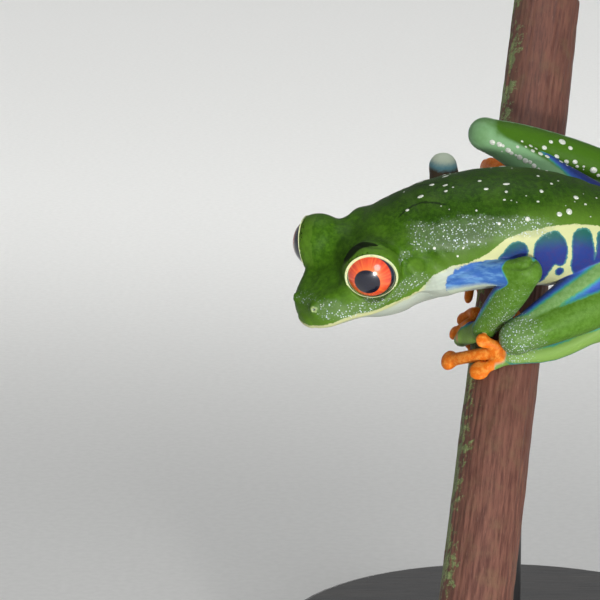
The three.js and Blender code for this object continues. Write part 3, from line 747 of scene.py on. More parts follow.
# The edges of the green and of the white belly, and the blue patches between the cream bars, as
# places on the trunk's left side: (ahead, above).
GREEN_EDGE = [
    (16, -5.5), (14.2, -5.2), (13.2, -4.1), (12.8, -3.7), (11.0, -2.7), (9.0, -2.0), (7.6, -1.8),
    (6.2, -1.3), (5.0, -0.4), (3.7, 0.8), (2.8, 1.5), (1.8, 1.9), (0.3, 2.5), (-1.2, 2.7),
    (-2.4, 3.0), (-4.0, 3.15), (-5.8, 3.25), (-7.8, 3.1), (-9.6, 2.8), (-14, 1.7), (-20, 0.2),
    (-27, -1.2),
]
BELLY_EDGE = [
    (16, -5.4), (14.2, -5.0), (13.2, -3.8), (12.8, -3.4), (11, -2.5), (9.6, -2.2), (9, -2.3),
    (7.6, -2.6), (5, -3.6), (2, -5.0), (-1, -5.8), (-3.8, -6.1), (-5.8, -5.0), (-7, -4.6),
    (-10, -4.0), (-15, -3.0), (-27, -2.2),
]
FLANK_PATCHES = [
    [(4.4, -3.2), (3.9, -1.5), (3.2, -0.6), (2.6, 0.5), (1.6, 1.1), (0.5, 1.0), (-0.1, 0),
     (0.1, -1.2), (1.0, -3.5), (3, -4.2)],
    [(-0.8, 0), (-1.2, 1.2), (-2.0, 2.0), (-3.7, 2.6), (-4.7, 1.8), (-5.4, 0.6), (-5.5, -0.9),
     (-5.2, -2.4), (-4.4, -2.4), (-3.9, -2.0), (-3.3, -3.6), (-2.8, -5.6), (-2.0, -5.8),
     (-1.2, -3.0)],
    [(-4.2, -3.2), (-4.7, -2.6), (-5.4, -3.1), (-5.1, -4.1), (-4.4, -4.0)],
    [(-6.0, 1.9), (-6.8, 2.6), (-7.9, 2.7), (-8.7, 2.1), (-9.0, 0.5), (-9.3, -0.9), (-9.4, -2.4),
     (-9.0, -4.4), (-7.2, -4.6), (-6.6, -3.4), (-6.1, -2.2), (-6.2, -0.8)],
    [(-9.5, 1.9), (-10.4, 2.4), (-11.6, 2.2), (-12.4, 1.2), (-12.6, -0.5), (-12.3, -2.2),
     (-11.0, -3.4), (-9.2, -3.4), (-9.3, -1.5), (-9.6, -0.5)],
    [(-13.2, 1.4), (-14.5, 1.6), (-15.8, 1.0), (-16, -0.6), (-15.2, -2.2), (-13.8, -2.4),
     (-13.1, -1.0)],
    [(-16.8, 0.6), (-18, 0.8), (-19, 0.0), (-18.8, -1.2), (-17.4, -1.6), (-16.7, -0.6)],
]
# The cream lip: behind the front of the mouth, and how far it reaches above the mouth line.
LIP_BAND = [(0, 0.3), (2, 0.4), (5, 0.52), (8, 0.48), (10.5, 0.22), (13, -0.05), (16, -0.25)]
mouth_gap = height - table(MOUTH_LINE, behind)
on_head = 1 - smooth_step(13.0, 15.5, behind)
over_edge = above - table(GREEN_EDGE, ahead)
dorsal = on_head * (mouth_gap - table(LIP_BAND, behind)) + (1 - on_head) * over_edge
belly = (1 - on_head) * (table(BELLY_EDGE, ahead) - above) + on_head * (-0.38 - mouth_gap)
patch = np.max([inside_outline(rounded_outline(o), ahead, above) for o in FLANK_PATCHES], 0)

# The green band along a limb: (share of its length, the angle it is centred on, half its width).
GREEN_BANDS = {
    "upper_arm": [
        (0, 150, -1.6), (0.5, 150, -1.6), (0.68, 140, -0.6), (0.8, 140, 2.2), (1, 140, 4.0),
    ],
    "forearm": [(0, 90, 4.0), (0.3, 90, 2.9), (0.7, 95, 2.3), (1, 100, 1.9)],
    "thigh": [
        (0, 128, 0.9), (0.3, 128, 0.9), (0.45, 128, 0.95), (0.6, 130, 1.0),
        (0.7, 127, 1.3), (0.8, 106, 2.1), (1, 112, 4.5),
    ],
    "shank": [(0, 95, 4.5), (0.3, 95, 3.7), (0.7, 95, 3.0), (1, 95, 2.6)],
    "tarsus": [(0, 90, 1.5), (1, 50, 1.4)],
    "instep": [(0, 40, 1.3), (0.7, 40, 1.2), (1, 40, 0.9)],
    "outer_palm": [(0, 60, 2.2), (0.5, 40, 1.7), (1, 30, 1.5)],
    "outer_toe": [(0, 20, 1.3), (1, 10, 1.1)],
}
RIGHT_BANDS = {
    "thigh": [(0, 80, 2.0), (0.45, 80, 2.2), (0.65, 95, 3.0), (1, 110, 3.4)],
    "shank": [(0, 60, 4.5), (0.3, 60, 4.4), (1, 60, 3.7)],
    "upper_arm": [(0, 90, -1.5), (0.6, 90, -1.5), (0.8, 90, 0.6), (1, 90, 1.0)],
}
SKIN_BLEND = 0.22  # how softly the skin of one part gives way to the next


def nearness(line):
    """How much skin belongs to a limb, and how far along it and where round it the skin lies."""
    far, *where = limb_field(skin_spots, line)
    return np.exp(-np.maximum(far, -0.6) / SKIN_BLEND), *where


skull = [
    (*in_head(b, 0, (c - d) / 2), h, (c + d) / 2, *head_up) for b, h, c, d in head_sections[::8]
]
total = np.maximum(nearness(trunk)[0], nearness(np.array(skull))[0])
limb_share = {}
right_pale_lit = np.zeros(len(skin_spots))
runs = []
for (name, side), line in limbs.items():
    weight, along, across, over = nearness(line)
    bands = RIGHT_BANDS if side < 0 and name in RIGHT_BANDS else GREEN_BANDS
    shares, centres, widths = np.array(bands[name], float).T
    angle = np.degrees(np.arctan2(over, across))
    turn = np.abs((angle - np.interp(along, shares, centres) + 180) % 360 - 180)
    radius = np.interp(along, np.linspace(0, 1, len(line)), line[:, 3:5].mean(1))
    run = np.radians(turn) * radius - np.interp(along, shares, widths)
    if name == "upper_arm":
        weight = weight * smooth_step(0.06, 0.46, along)
    elif name not in ("forearm", "outer_palm"):
        run = np.minimum(run, 2.7)
    limb_share[name, side] = weight
    # The right leg's lower side is pale: partly its own pale skin, partly painted light on the side
    # the body shades from the lamps.
    if side < 0 and name in ("thigh", "shank"):
        if name == "shank":
            pale, knee_end = smooth_step(105, 140, angle % 360), smooth_step(0.14, 0.0, along)
        else:
            pale, knee_end = 1 - smooth_step(120, 160, np.abs(angle)), smooth_step(0.88, 1.0, along)
        right_pale_lit += weight * np.maximum(pale, 0.5 * knee_end)
    runs.append((weight, run))
    total += weight
palm_weight, digit_weight = (
    np.max([nearness(line)[0] for line, is_palm in extremities if is_palm == palms], 0)
    for palms in (True, False)
)
total += palm_weight + digit_weight
limb_total = sum(w for w, _ in runs)
band_run = sum(w * r for w, r in runs) / np.maximum(limb_total, 1e-9)
limb_part = limb_total / total
digit_part = (digit_weight + palm_weight) / total

eye_gap = np.full(len(skin_spots), 9.0)
for side in (1, -1):
    long, tall = LID_OPENING[side]
    local = (skin_spots - in_head(*EYE_AT[side])) @ eye_axes[side].T
    radial = np.hypot(local[:, 0] * tall / long, local[:, 2])
    eye_gap = np.minimum(eye_gap, np.where(local[:, 1] > -0.5, np.maximum(radial - tall, 0), 9.0))


def gap_to(*places):
    """How far the skin is from the nearest of some places."""
    return np.min([np.linalg.norm(skin_spots - np.array(place), axis=1) for place in places], 0)


# The grained areas: (centre along, centre up, half length, half height) on the trunk and the head.
TRUNK_GRAIN = [(3.2, 2.9, 6.4, 1.3), (8.4, 1.9, 3.4, 1.7), (11.8, 1.2, 3.9, 1.7)]
HEAD_GRAIN = [
    (2.4, 2.3, 1.6, 1.1), (5.8, 1.3, 4.0, 0.9), (12.2, 0.9, 2.8, 1.1), (13.4, 4.6, 1.2, 0.5),
]
KNEE_GRAIN = 4.4
grain = np.max(
    [
        np.exp(-(((u - x) / a) ** 4) - ((v - y) / b) ** 4)
        for u, v, areas in ((ahead, above, TRUNK_GRAIN), (behind, height, HEAD_GRAIN))
        for x, y, a, b in areas
    ],
    0,
)
forearm_grain = limb_share["forearm", 1] / total
knee_grain = np.exp(-((gap_to(legs[1]["knee"]) / KNEE_GRAIN) ** 4))
grain = np.maximum.reduce([grain * (1 - limb_part), 0.32 * forearm_grain, 0.8 * knee_grain])
grain = grain * (1 - digit_part)

# A painted shadow darkens the furrow behind the left eye's upper lid and the crown beside it, as if
# the turret cast it. From the eye's centre, in the plane that the turret faces: (across, up, half
# width).
TURRET_SHADE = [
    (-4.05, 0.45, 0.25),
    (-3.85, 1.1, 0.5),
    (-3.35, 1.85, 0.68),
    (-2.7, 2.45, 0.62),
    (-1.9, 3.05, 0.5),
    (-0.95, 3.3, 0.38),
    (0.0, 3.3, 0.26),
    (0.75, 3.2, 0.12),
]
SHADE_REACH = 2.5  # the painted shadow stays this close to the furrow's line
from_eye = skin_spots - in_head(*EYE_AT[1])
near_right = unit(np.array((1, 0, 0)) - near_face * near_face[0])
seen = from_eye @ np.array([near_right, np.cross(near_face, near_right)]).T
shade = rounded_line(TURRET_SHADE)
turret_shadow_gap = (np.linalg.norm(seen[:, None] - shade[:, :2], axis=2) / shade[:, 2]).min(1)
turret_shadow_gap = np.maximum(turret_shadow_gap, gap_to(*turret_furrow[:, :3]) / SHADE_REACH)

# Fine creases run along the back where the skin folds, each a line of painted shade over a bump.
# The skin stores its signed distance to the nearest one, and how strong the crease is there.
CREASES = [
    [
        (-15.6, -11.0, 69.0), (-14.7, -10.6, 69.6), (-13.3, -10.3, 70.1),
        (-11.8, -10.7, 70.2), (-10.1, -11.2, 70.0),
    ],
    [(-14.4, -5.4, 71.3), (-13.6, -6.1, 71.7), (-12.3, -6.9, 72.0), (-10.8, -7.1, 72.4)],
]
crease_gap = np.full(len(skin_spots), 9.0)
crease_share = np.zeros(len(skin_spots))
crease_near = np.full(len(skin_spots), 1.5)
for marks in CREASES:
    line = rounded_line(marks, 4)
    ways = np.gradient(line, axis=0)
    ways = ways / np.linalg.norm(ways, axis=1)[:, None]
    away = skin_spots[:, None] - line
    gaps = np.linalg.norm(away, axis=2)
    nearest = gaps.argmin(1)
    rows = np.arange(len(skin_spots))
    away, gap, way = away[rows, nearest], gaps[rows, nearest], ways[nearest]
    across = np.cross(way, trunk_up)
    sideways = (away * across).sum(1) / np.linalg.norm(across, axis=1)
    beyond = np.abs((away * way).sum(1))
    closer = gap < crease_near
    crease_gap = np.where(closer, sideways, crease_gap)
    crease_share = np.where(closer, 1 - smooth_step(0.1, 0.9, beyond), crease_share)
    crease_near = np.where(closer, gap, crease_near)

elbow_at = np.array(arms[-1]["elbow"])
elbow_rise = np.where(gap_to(elbow_at) < 4.5, (skin_spots - elbow_at) @ trunk_up, -9.0)
shin_names = ("tarsus", "instep", "outer_toe", "outer_palm")
shins = [limb_share[name, side] for name in shin_names for side in (1, -1)]
skin_mesh = bpy.data.meshes.new("frog_skin")
skin_mesh.from_pydata((skin_spots * MM).tolist(), [], skin_faces)
skin_mesh.polygons.foreach_set("use_smooth", [True] * len(skin_mesh.polygons))
for name, values in {
    "dorsal": dorsal,
    "belly": belly,
    "patch": patch + 0.12,
    "below_edge": -over_edge,
    "head_part": smooth_step(20.0, 14.0, behind),
    "limb_part": limb_part,
    "band_run": band_run,
    "digit_part": digit_part,
    "eye_gap": eye_gap,
    "drum_gap": gap_to(*drum_centre.values()),
    "nostril_gap": gap_to(*nostril_at.values()),
    "elbow_rise": elbow_rise,
    "grain": grain,
    "turret_shadow_gap": turret_shadow_gap,
    "crease_gap": crease_gap,
    "crease_share": crease_share,
    "upper_arm_part": (limb_share["upper_arm", 1] + limb_share["upper_arm", -1]) / total,
    "shin_part": sum(shins) / total,
    "right_leg_part": (limb_share["thigh", -1] + limb_share["shank", -1]) / total,
    "right_pale_lit": right_pale_lit / total,
    "left_thigh_part": limb_share["thigh", 1] / total,
}.items():
    stored = skin_mesh.attributes.new(name, "FLOAT", "POINT")
    stored.data.foreach_set("value", values.astype(np.float32))
skin = bpy.data.objects.new("frog_skin", skin_mesh)
bpy.context.scene.collection.objects.link(skin)


# ---- Frog: the skin's finish ------------------------------------------------------------------
# Painted silicone under a wet gloss: leaf green with fine darker mottling, crisp cream and blue
# markings, glistening grains along the shoulders with painted glints and a painted sheen, painted
# shade in the creases, the nostrils and the furrow behind the left eye, painted light and shade on
# the right elbow, painted light on the right leg's lower side, and a fine leathery relief all over.
class Finish:
    """A material under construction, with short calls for its nodes."""

    def __init__(self, name, place=None):
        self.material = bpy.data.materials.new(name)
        self.material.use_nodes = True
        self.tree = self.material.node_tree
        self.shader = self.tree.nodes["Principled BSDF"]
        if place:  # a place stored on the mesh, in millimetres
            self.mm = self.node("ShaderNodeAttribute", attribute_name=place).outputs["Vector"]
        else:
            metres = self.node("ShaderNodeTexCoord").outputs["Object"]
            self.mm = self.vector("MULTIPLY", metres, (1000, 1000, 1000))

    def set(self, target, key, value):
        socket = target.inputs[key]
        if isinstance(value, bpy.types.NodeSocket):
            self.tree.links.new(value, socket)
        else:
            socket.default_value = value

    def surface(self, sockets):
        for key, value in sockets.items():
            self.set(self.shader, key, value)

    def node(self, kind, inputs=None, **settings):
        made = self.tree.nodes.new(kind)
        for key, value in settings.items():
            setattr(made, key, value)
        for key, value in (inputs or {}).items():
            self.set(made, key, value)
        return made

    def stored(self, name):
        return self.node("ShaderNodeAttribute", attribute_name=name).outputs["Fac"]

    def vector(self, operation, *values):
        made = self.node("ShaderNodeVectorMath", dict(enumerate(values)), operation=operation)
        return made.outputs["Value" if operation in ("LENGTH", "DOT_PRODUCT") else "Vector"]

    def math(self, operation, *values):
        return self.node("ShaderNodeMath", dict(enumerate(values)), operation=operation).outputs[0]

    def sum(self, a, b):
        return self.math("ADD", a, b)

    def less(self, a, b):
        return self.math("SUBTRACT", a, b)

    def times(self, a, b):
        return self.math("MULTIPLY", a, b)

    def share(self, value, low, high):
        inputs = {"Value": value, "From Min": low, "From Max": high}
        return self.node("ShaderNodeMapRange", inputs).outputs[0]

    def step(self, value, low, high, to_low=0.0, to_high=1.0):
        """A soft step from to_low to to_high as the value goes from low to high."""
        inputs = dict(zip(("Value", "From Min", "From Max"), (value, low, high)))
        inputs.update({"To Min": to_low, "To Max": to_high})
        return self.node("ShaderNodeMapRange", inputs, interpolation_type="SMOOTHSTEP").outputs[0]

    def noise(self, scale, detail=3.0, rough=0.55, place=None, stretch=None):
        place = place or self.mm
        if stretch:
            place = self.vector("MULTIPLY", place, stretch)
        inputs = {"Vector": place, "Scale": scale, "Detail": detail, "Roughness": rough}
        return self.node("ShaderNodeTexNoise", inputs).outputs["Fac"]

    def mix(self, share, a, b):
        """Colour a where the share is 0, and colour b where it is 1."""
        made = self.node("ShaderNodeMix", data_type="RGBA")
        for key, value in ((0, share), (6, a), (7, b)):
            self.set(made, key, (*value, 1) if isinstance(value, tuple) else value)
        return made.outputs[2]

    def lay(self, colour, tone, value, low, high, least=0.0, most=1.0):
        """Lays a tone over a colour, by `least` where the value is low and by `most` where high."""
        return self.mix(self.step(value, low, high, least, most), colour, tone)

    def ramp(self, value, *stops):
        made = self.node("ShaderNodeValToRGB", {0: value})
        band = made.color_ramp
        while len(band.elements) < len(stops):
            band.elements.new(0.5)
        for element, (at, colour) in zip(band.elements, stops):
            element.position = at
            element.color = (*colour, 1)
        return made.outputs[0]

    def bump(self, height, strength, distance, below=None):
        inputs = {"Height": height, "Strength": strength, "Distance": distance * MM}
        if below:
            inputs["Normal"] = below
        return self.node("ShaderNodeBump", inputs).outputs[0]


GREEN_DEEP = (0.012, 0.041, 0.001)
GREEN_LEAF = (0.026, 0.080, 0.002)
GREEN_PALE = (0.100, 0.205, 0.020)
HEAD_DEEP = (0.027, 0.082, 0.002)
HEAD_LEAF = (0.052, 0.140, 0.005)
LIMB_DEEP = (0.060, 0.150, 0.010)
LIMB_LEAF = (0.094, 0.205, 0.026)
THIGH_DEEP = (0.115, 0.235, 0.060)
THIGH_LEAF = (0.165, 0.300, 0.105)
SHIN_GREEN = (0.175, 0.300, 0.065)
RIGHT_DEEP = (0.048, 0.130, 0.007)
RIGHT_PALE_LIT = (0.190, 0.360, 0.180)
TURRET_SHADOW_DARK = (0.004, 0.010, 0.001)
CREASE_SHADE = (0.004, 0.012, 0.001)
CREAM = (0.500, 0.520, 0.265)
BELLY_WHITE = (0.420, 0.470, 0.400)
SKY_BLUE = (0.035, 0.115, 0.360)
SKY_PALE = (0.110, 0.250, 0.470)
SKY_CREAM = (0.50, 0.58, 0.45)
TEAL = (0.010, 0.100, 0.072)
CYAN = (0.075, 0.250, 0.220)
FLANK_BLUE = (0.016, 0.036, 0.190)
VIOLET = (0.030, 0.033, 0.165)
ELBOW_SHADE_BROWN = (0.060, 0.042, 0.024)
ELBOW_TEAL = (0.13, 0.29, 0.33)
ELBOW_LIT_CREAM = (0.56, 0.64, 0.50)
ORANGE = (0.680, 0.155, 0.010)
ORANGE_DEEP = (0.420, 0.045, 0.004)
ORANGE_PALE = (0.80, 0.33, 0.06)
NOSTRIL_PALE = (0.50, 0.60, 0.28)
NOSTRIL_PIT_SHADE = (0.030, 0.012, 0.014)
GRAIN_GROUND_SHEEN = (0.150, 0.215, 0.110)
GLINT_COOL = (0.60, 0.72, 0.86)
GLINT_WARM = (0.80, 0.85, 0.74)
# The colours across a limb, from the middle of its green side round to its underside.
LIMB_ROUND = [
    (0.0, (0.13, 0.33, 0.07)),
    (0.07, (0.06, 0.27, 0.14)),
    (0.11, (0.04, 0.22, 0.32)),
    (0.16, (0.04, 0.10, 0.40)),
    (0.30, FLANK_BLUE),
    (0.52, VIOLET),
    (0.66, (0.30, 0.34, 0.50)),
    (0.78, BELLY_WHITE),
]

cast = Finish("frog_skin")
drift = cast.noise(0.25, 4)
mottle = cast.noise(1.6, 5, 0.6)
fine = cast.noise(5.0, 4, 0.6)
streaks = cast.noise(1.1, 4, 0.6, stretch=(0.35, 1.0, 1.4))
# How far the edge of a marking wanders, in millimetres.
wander = cast.times(cast.less(cast.noise(1.3, 3), 0.5), 0.9)
waver = cast.times(cast.less(cast.noise(2.2, 4, 0.65), 0.5), 0.55)

# The back and the head are green.
green = cast.lay(GREEN_DEEP, GREEN_LEAF, mottle, 0.35, 0.68)
head_green = cast.lay(HEAD_DEEP, HEAD_LEAF, mottle, 0.35, 0.68)
green = cast.mix(cast.stored("head_part"), green, head_green)
green = cast.lay(green, GREEN_PALE, drift, 0.45, 0.8, 0, 0.25)
green = cast.lay(green, GREEN_PALE, fine, 0.5, 0.75, 0, 0.25)
dorsal_in = cast.stored("dorsal")
green = cast.lay(green, GREEN_PALE, dorsal_in, 0.0, 3.6, 0.7, 0.0)
green = cast.lay(green, GREEN_PALE, cast.stored("eye_gap"), 0.0, 1.7, 0.5, 0.0)
green = cast.lay(green, GREEN_PALE, cast.stored("drum_gap"), 0.9, 1.25, 0.45, 0.0)
# Painted shadow: the furrow behind the left eye's lid and the crown beside it are darkened almost
# to black.
turret_shadow_near = cast.stored("turret_shadow_gap")
green = cast.lay(green, TURRET_SHADOW_DARK, turret_shadow_near, 0.8, 1.2, 0.97, 0.0)

# The flank is blue between cream bars, over a white belly.
patch_in = cast.sum(cast.stored("patch"), waver)
blue = cast.lay(FLANK_BLUE, VIOLET, mottle, 0.4, 0.65)
blue = cast.lay(blue, TEAL, cast.sum(cast.stored("below_edge"), wander), 0.6, 3.4, 0.95, 0.0)
blue = cast.lay(blue, CYAN, patch_in, 0.02, 0.3, 0.8, 0.0)
flank = cast.lay(CREAM, blue, patch_in, -0.03, 0.05)
flank = cast.lay(flank, BELLY_WHITE, cast.sum(cast.stored("belly"), wander), -0.3, 0.6)
body = cast.lay(flank, green, cast.sum(dorsal_in, waver), -0.05, 0.05)

# Limbs have a green band, and the upper arms are sky blue beside it.
run = cast.sum(cast.stored("band_run"), waver)
limb_side = cast.ramp(cast.share(run, -0.5, 5.5), *LIMB_ROUND)
sky = cast.lay(SKY_BLUE, SKY_PALE, streaks, 0.42, 0.68)
sky = cast.lay(sky, SKY_CREAM, run, 3.1, 4.3)
upper_arm = cast.stored("upper_arm_part")
sky_share = cast.times(cast.step(upper_arm, 0.3, 0.6), cast.step(run, 0.2, 0.9))
limb_side = cast.mix(sky_share, limb_side, sky)
limb_green = cast.lay(LIMB_DEEP, LIMB_LEAF, mottle, 0.3, 0.7)
thigh_green = cast.lay(THIGH_DEEP, THIGH_LEAF, mottle, 0.3, 0.7)
limb_green = cast.lay(limb_green, thigh_green, cast.stored("left_thigh_part"), 0.3, 0.7)
limb_green = cast.lay(limb_green, SHIN_GREEN, cast.stored("shin_part"), 0.35, 0.7)
# Painted light, in part: the right leg's shaded lower side is laid paler than its skin alone.
pale_part = cast.sum(cast.stored("right_pale_lit"), cast.times(wander, 0.25))
right_green = cast.lay(RIGHT_DEEP, RIGHT_PALE_LIT, pale_part, 0.2, 0.85)
limb_green = cast.lay(limb_green, right_green, cast.stored("right_leg_part"), 0.3, 0.7)
limb = cast.lay(limb_green, limb_side, run, -0.35, -0.05)

# The right elbow is coloured by height: a pale cream top that is partly painted light, a teal band,
# and below them a dark brown that is partly its orange-brown underside and partly painted shade.
elbow_rise = cast.sum(cast.stored("elbow_rise"), waver)
elbow = cast.lay(ELBOW_SHADE_BROWN, ELBOW_TEAL, elbow_rise, -0.3, 0.4)
elbow = cast.lay(elbow, ELBOW_LIT_CREAM, elbow_rise, 0.3, 1.3)
limb = cast.lay(limb, elbow, elbow_rise, -2.2, -1.4)
arm_wander = cast.times(cast.less(cast.sum(streaks, mottle), 1.0), 1.4)
limb_edge = cast.sum(cast.stored("limb_part"), cast.times(arm_wander, upper_arm))
colour = cast.lay(body, limb, limb_edge, 0.35, 0.65)
orange = cast.lay(ORANGE, ORANGE_PALE, mottle, 0.4, 0.75)
orange = cast.lay(orange, ORANGE_DEEP, fine, 0.5, 0.75, 0, 0.5)
colour = cast.lay(colour, orange, cast.stored("digit_part"), 0.4, 0.6)

# Last come the nostrils with painted shade in their pits, the creases on the back with painted
# shade along them, and the glistening grains with painted glints.
nostril_near = cast.stored("nostril_gap")
colour = cast.lay(colour, NOSTRIL_PALE, cast.sum(nostril_near, waver), 0.32, 0.55, 0.6, 0.0)
# Painted shade: the nostril's pit is darkened almost to black.
colour = cast.lay(colour, NOSTRIL_PIT_SHADE, nostril_near, 0.14, 0.24, 1.0, 0.0)
# Painted shade: a thin dark line along each crease on the back.
crease_at = cast.sum(cast.stored("crease_gap"), cast.times(waver, 0.8))
creased = cast.step(cast.math("ABSOLUTE", crease_at), 0.05, 0.2, 1.0, 0.0)
creased = cast.times(creased, cast.stored("crease_share"))
colour = cast.mix(cast.times(creased, 0.85), colour, CREASE_SHADE)
granules = cast.node("ShaderNodeTexVoronoi", {"Vector": cast.mm, "Scale": 3.7})
speck = cast.step(granules.outputs["Distance"], 0.22, 0.46, 1.0, 0.0)
chosen = cast.step(granules.outputs["Color"], 0.25, 0.85)
grained = cast.step(cast.less(cast.stored("grain"), wander), 0.15, 0.8)
speckled = cast.times(cast.times(speck, chosen), grained)
# Painted sheen and glints: the grained areas get a pale veil, and the granules' white specks stand
# for glints of light.
colour = cast.mix(cast.times(grained, 0.35), colour, GRAIN_GROUND_SHEEN)
glint_tone = cast.lay(GLINT_COOL, GLINT_WARM, fine, 0.4, 0.65)
colour = cast.mix(cast.times(speckled, 0.95), colour, glint_tone)

relief = cast.bump(fine, 0.5, 0.10)
relief = cast.bump(cast.noise(11.0, 3), 0.4, 0.05, relief)
relief = cast.bump(speckled, 0.7, 0.12, relief)
relief = cast.bump(creased, -0.8, 0.20, relief)
dull = cast.times(cast.step(turret_shadow_near, 0.7, 1.2, 1.0, 0.0), 0.4)
cast.surface({
    "Base Color": colour,
    "Normal": relief,
    "Roughness": cast.sum(cast.step(mottle, 0.3, 0.8, 0.40, 0.55), dull),
    "Specular IOR Level": 0.10,
    "Coat Weight": 0.04,
    "Coat Roughness": 0.25,
    "Subsurface Weight": 0.06,
    "Subsurface Radius": (0.6, 0.5, 0.3),
    "Subsurface Scale": 1.2 * MM,
})
skin_mesh.materials.append(cast.material)
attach(skin, "root")
flesh = [
    f"{name}_{side}"
    for name in ("upper_arm", "forearm", "hand", "thigh", "shank", "tarsus", "foot")
    for side in ("left", "right")
]
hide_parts("head", "torso", *flesh)

# ---- Frog: eyes -------------------------------------------------------------------------------
# Two glass eyes set behind the lids: a red iris with fine rays, a wide black pupil that looks
# outward and ahead, and a dark rim where the iris ends. A thin yellow edge runs round each lid.
GLASS_RADIUS = EYE_RADIUS - 0.03
PUPIL_TALL = 1.74
PUPIL_WIDE = 1.70
PUPIL_AT = (-0.28, -0.31, 0.0)
IRIS_HALF = 2.92
GAZE = {1: (0.606, 0.746, 0.275), -1: (0.40, -0.91, 0.03)}
LID_EDGE = 3.75  # how far the lid's edge is from the eye's centre
LID_EDGE_THICK = 0.12
IRIS_ROUND = [
    (0.0, (0.80, 0.19, 0.03)),
    (0.3, (0.76, 0.10, 0.025)),
    (0.6, (0.70, 0.055, 0.022)),
    (1.0, (0.50, 0.025, 0.012)),
]
IRIS_RAY = (0.95, 0.25, 0.05)
IRIS_FLECK = (0.60, 0.04, 0.01)
PUPIL_BLACK = (0.004, 0.005, 0.016)
EYE_DARK = (0.006, 0.008, 0.030)
LID_YELLOW = (0.66, 0.68, 0.36)
LID_GREEN = (0.50, 0.62, 0.36)

glass = Finish("glass_eye", "iris_place")
depth = glass.node("ShaderNodeSeparateXYZ", {0: glass.mm}).outputs[2]
pupil = glass.vector("SUBTRACT", glass.mm, PUPIL_AT)
pupil = glass.vector("MULTIPLY", pupil, (1 / PUPIL_WIDE, 1 / PUPIL_TALL, 0.0))
flat = glass.vector("MULTIPLY", glass.mm, (1.0, 1.0, 0.0))
iris_reach = glass.vector("LENGTH", flat)
rays = glass.noise(7.0, 5, 0.65, glass.vector("NORMALIZE", flat))
iris = glass.ramp(glass.share(iris_reach, 1.2, 3.1), *IRIS_ROUND)
iris = glass.lay(iris, IRIS_RAY, rays, 0.40, 0.70, 0.0, 0.45)
iris = glass.lay(iris, IRIS_FLECK, glass.noise(2.4, 4, 0.6), 0.55, 0.75, 0.0, 0.35)
eye_colour = glass.lay(PUPIL_BLACK, iris, glass.vector("LENGTH", pupil), 0.97, 1.05)
eye_colour = glass.lay(eye_colour, EYE_DARK, iris_reach, IRIS_HALF - 0.10, IRIS_HALF)
glass.surface({
    "Base Color": glass.lay(EYE_DARK, eye_colour, depth, 0.0, 0.4),
    "Roughness": 0.22,
    "Coat Weight": 1.0,
    "Coat Roughness": 0.02,
    "Normal": glass.bump(rays, 0.15, 0.08),
})

lid_edge = Finish("lid_edge")
lid_edge.surface({
    "Base Color": lid_edge.lay(LID_YELLOW, LID_GREEN, lid_edge.noise(2.5), 0.4, 0.7),
    "Roughness": 0.3,
    "Coat Weight": 0.4,
})


def mesh_from(name, spots, faces):
    mesh = bpy.data.meshes.new(name)
    mesh.from_pydata(np.asarray(spots, float).tolist(), [], [list(f) for f in faces])
    mesh.polygons.foreach_set("use_smooth", [True] * len(mesh.polygons))
    made = bpy.data.objects.new(name, mesh)
    bpy.context.scene.collection.objects.link(made)
    return made


def ring_grid(rows, columns):
    """Faces of a grid of rows and columns whose columns close on themselves."""
    faces = []
    for i in range(rows - 1):
        for j in range(columns):
            a, b, k = i * columns, (i + 1) * columns, (j + 1) % columns
            faces.append((a + j, a + k, b + k, b + j))
    return faces


for side, label in ((1, "left"), (-1, "right")):
    eye_at = in_head(*EYE_AT[side])
    gaze = unit(GAZE[side]) @ head_axes
    gaze_up = unit(head_up - gaze * (head_up @ gaze))
    gaze_side = np.cross(gaze_up, gaze)
    rows, columns = 40, 64
    spots = [(0, 0, GLASS_RADIUS)]
    for i in range(1, rows):
        tilt = np.pi * i / rows
        for j in range(columns):
            turn = 2 * np.pi * j / columns
            way = (np.sin(tilt) * np.cos(turn), np.sin(tilt) * np.sin(turn), np.cos(tilt))
            spots.append(GLASS_RADIUS * np.array(way))
    spots.append((0, 0, -GLASS_RADIUS))
    faces = [tuple(v + 1 for v in f[::-1]) for f in ring_grid(rows - 1, columns)]
    last = len(spots) - 1
    for j in range(columns):
        k = (j + 1) % columns
        faces.append((0, 1 + j, 1 + k))
        faces.append((last, last - columns + k, last - columns + j))
    eyeball = mesh_from(f"eyeball_{label}", np.array(spots) * MM, faces)
    turned = Matrix((gaze_side, gaze_up, gaze)).transposed().to_4x4()
    turned.translation = Vector(eye_at) * MM
    eyeball.matrix_world = turned
    iris_place = eyeball.data.attributes.new("iris_place", "FLOAT_VECTOR", "POINT")
    mirrored = (np.array(spots) * (side, 1, 1)).astype(np.float32)
    iris_place.data.foreach_set("vector", mirrored.ravel())
    eyeball.data.materials.append(glass.material)
    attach(eyeball, "root")
    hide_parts(f"eye_{label}")

    fore_way, out_way, up_way = eye_axes[side]
    columns, around = 96, 12
    spots = []
    for i in range(columns):
        turn = 2 * np.pi * i / columns
        plane = np.array(LID_OPENING[side]) * (np.cos(turn), np.sin(turn))
        flat = fore_way * plane[0] + up_way * plane[1]
        middle = flat + out_way * np.sqrt(LID_EDGE**2 - plane @ plane)
        thick = LID_EDGE_THICK + 0.07 * np.cos(turn - 1.9)  # thicker above
        for j in range(around):
            roll = 2 * np.pi * j / around
            round_edge = np.cos(roll) * unit(middle) + np.sin(roll) * unit(flat)
            spots.append(eye_at + middle + thick * round_edge)
    faces = ring_grid(columns, around)
    for j in range(around):
        k = (j + 1) % around
        faces.append(((columns - 1) * around + j, (columns - 1) * around + k, k, j))
    rim = mesh_from(f"lid_edge_{label}", np.array(spots) * MM, faces)
    rim.data.materials.append(lid_edge.material)
    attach(rim, "root")
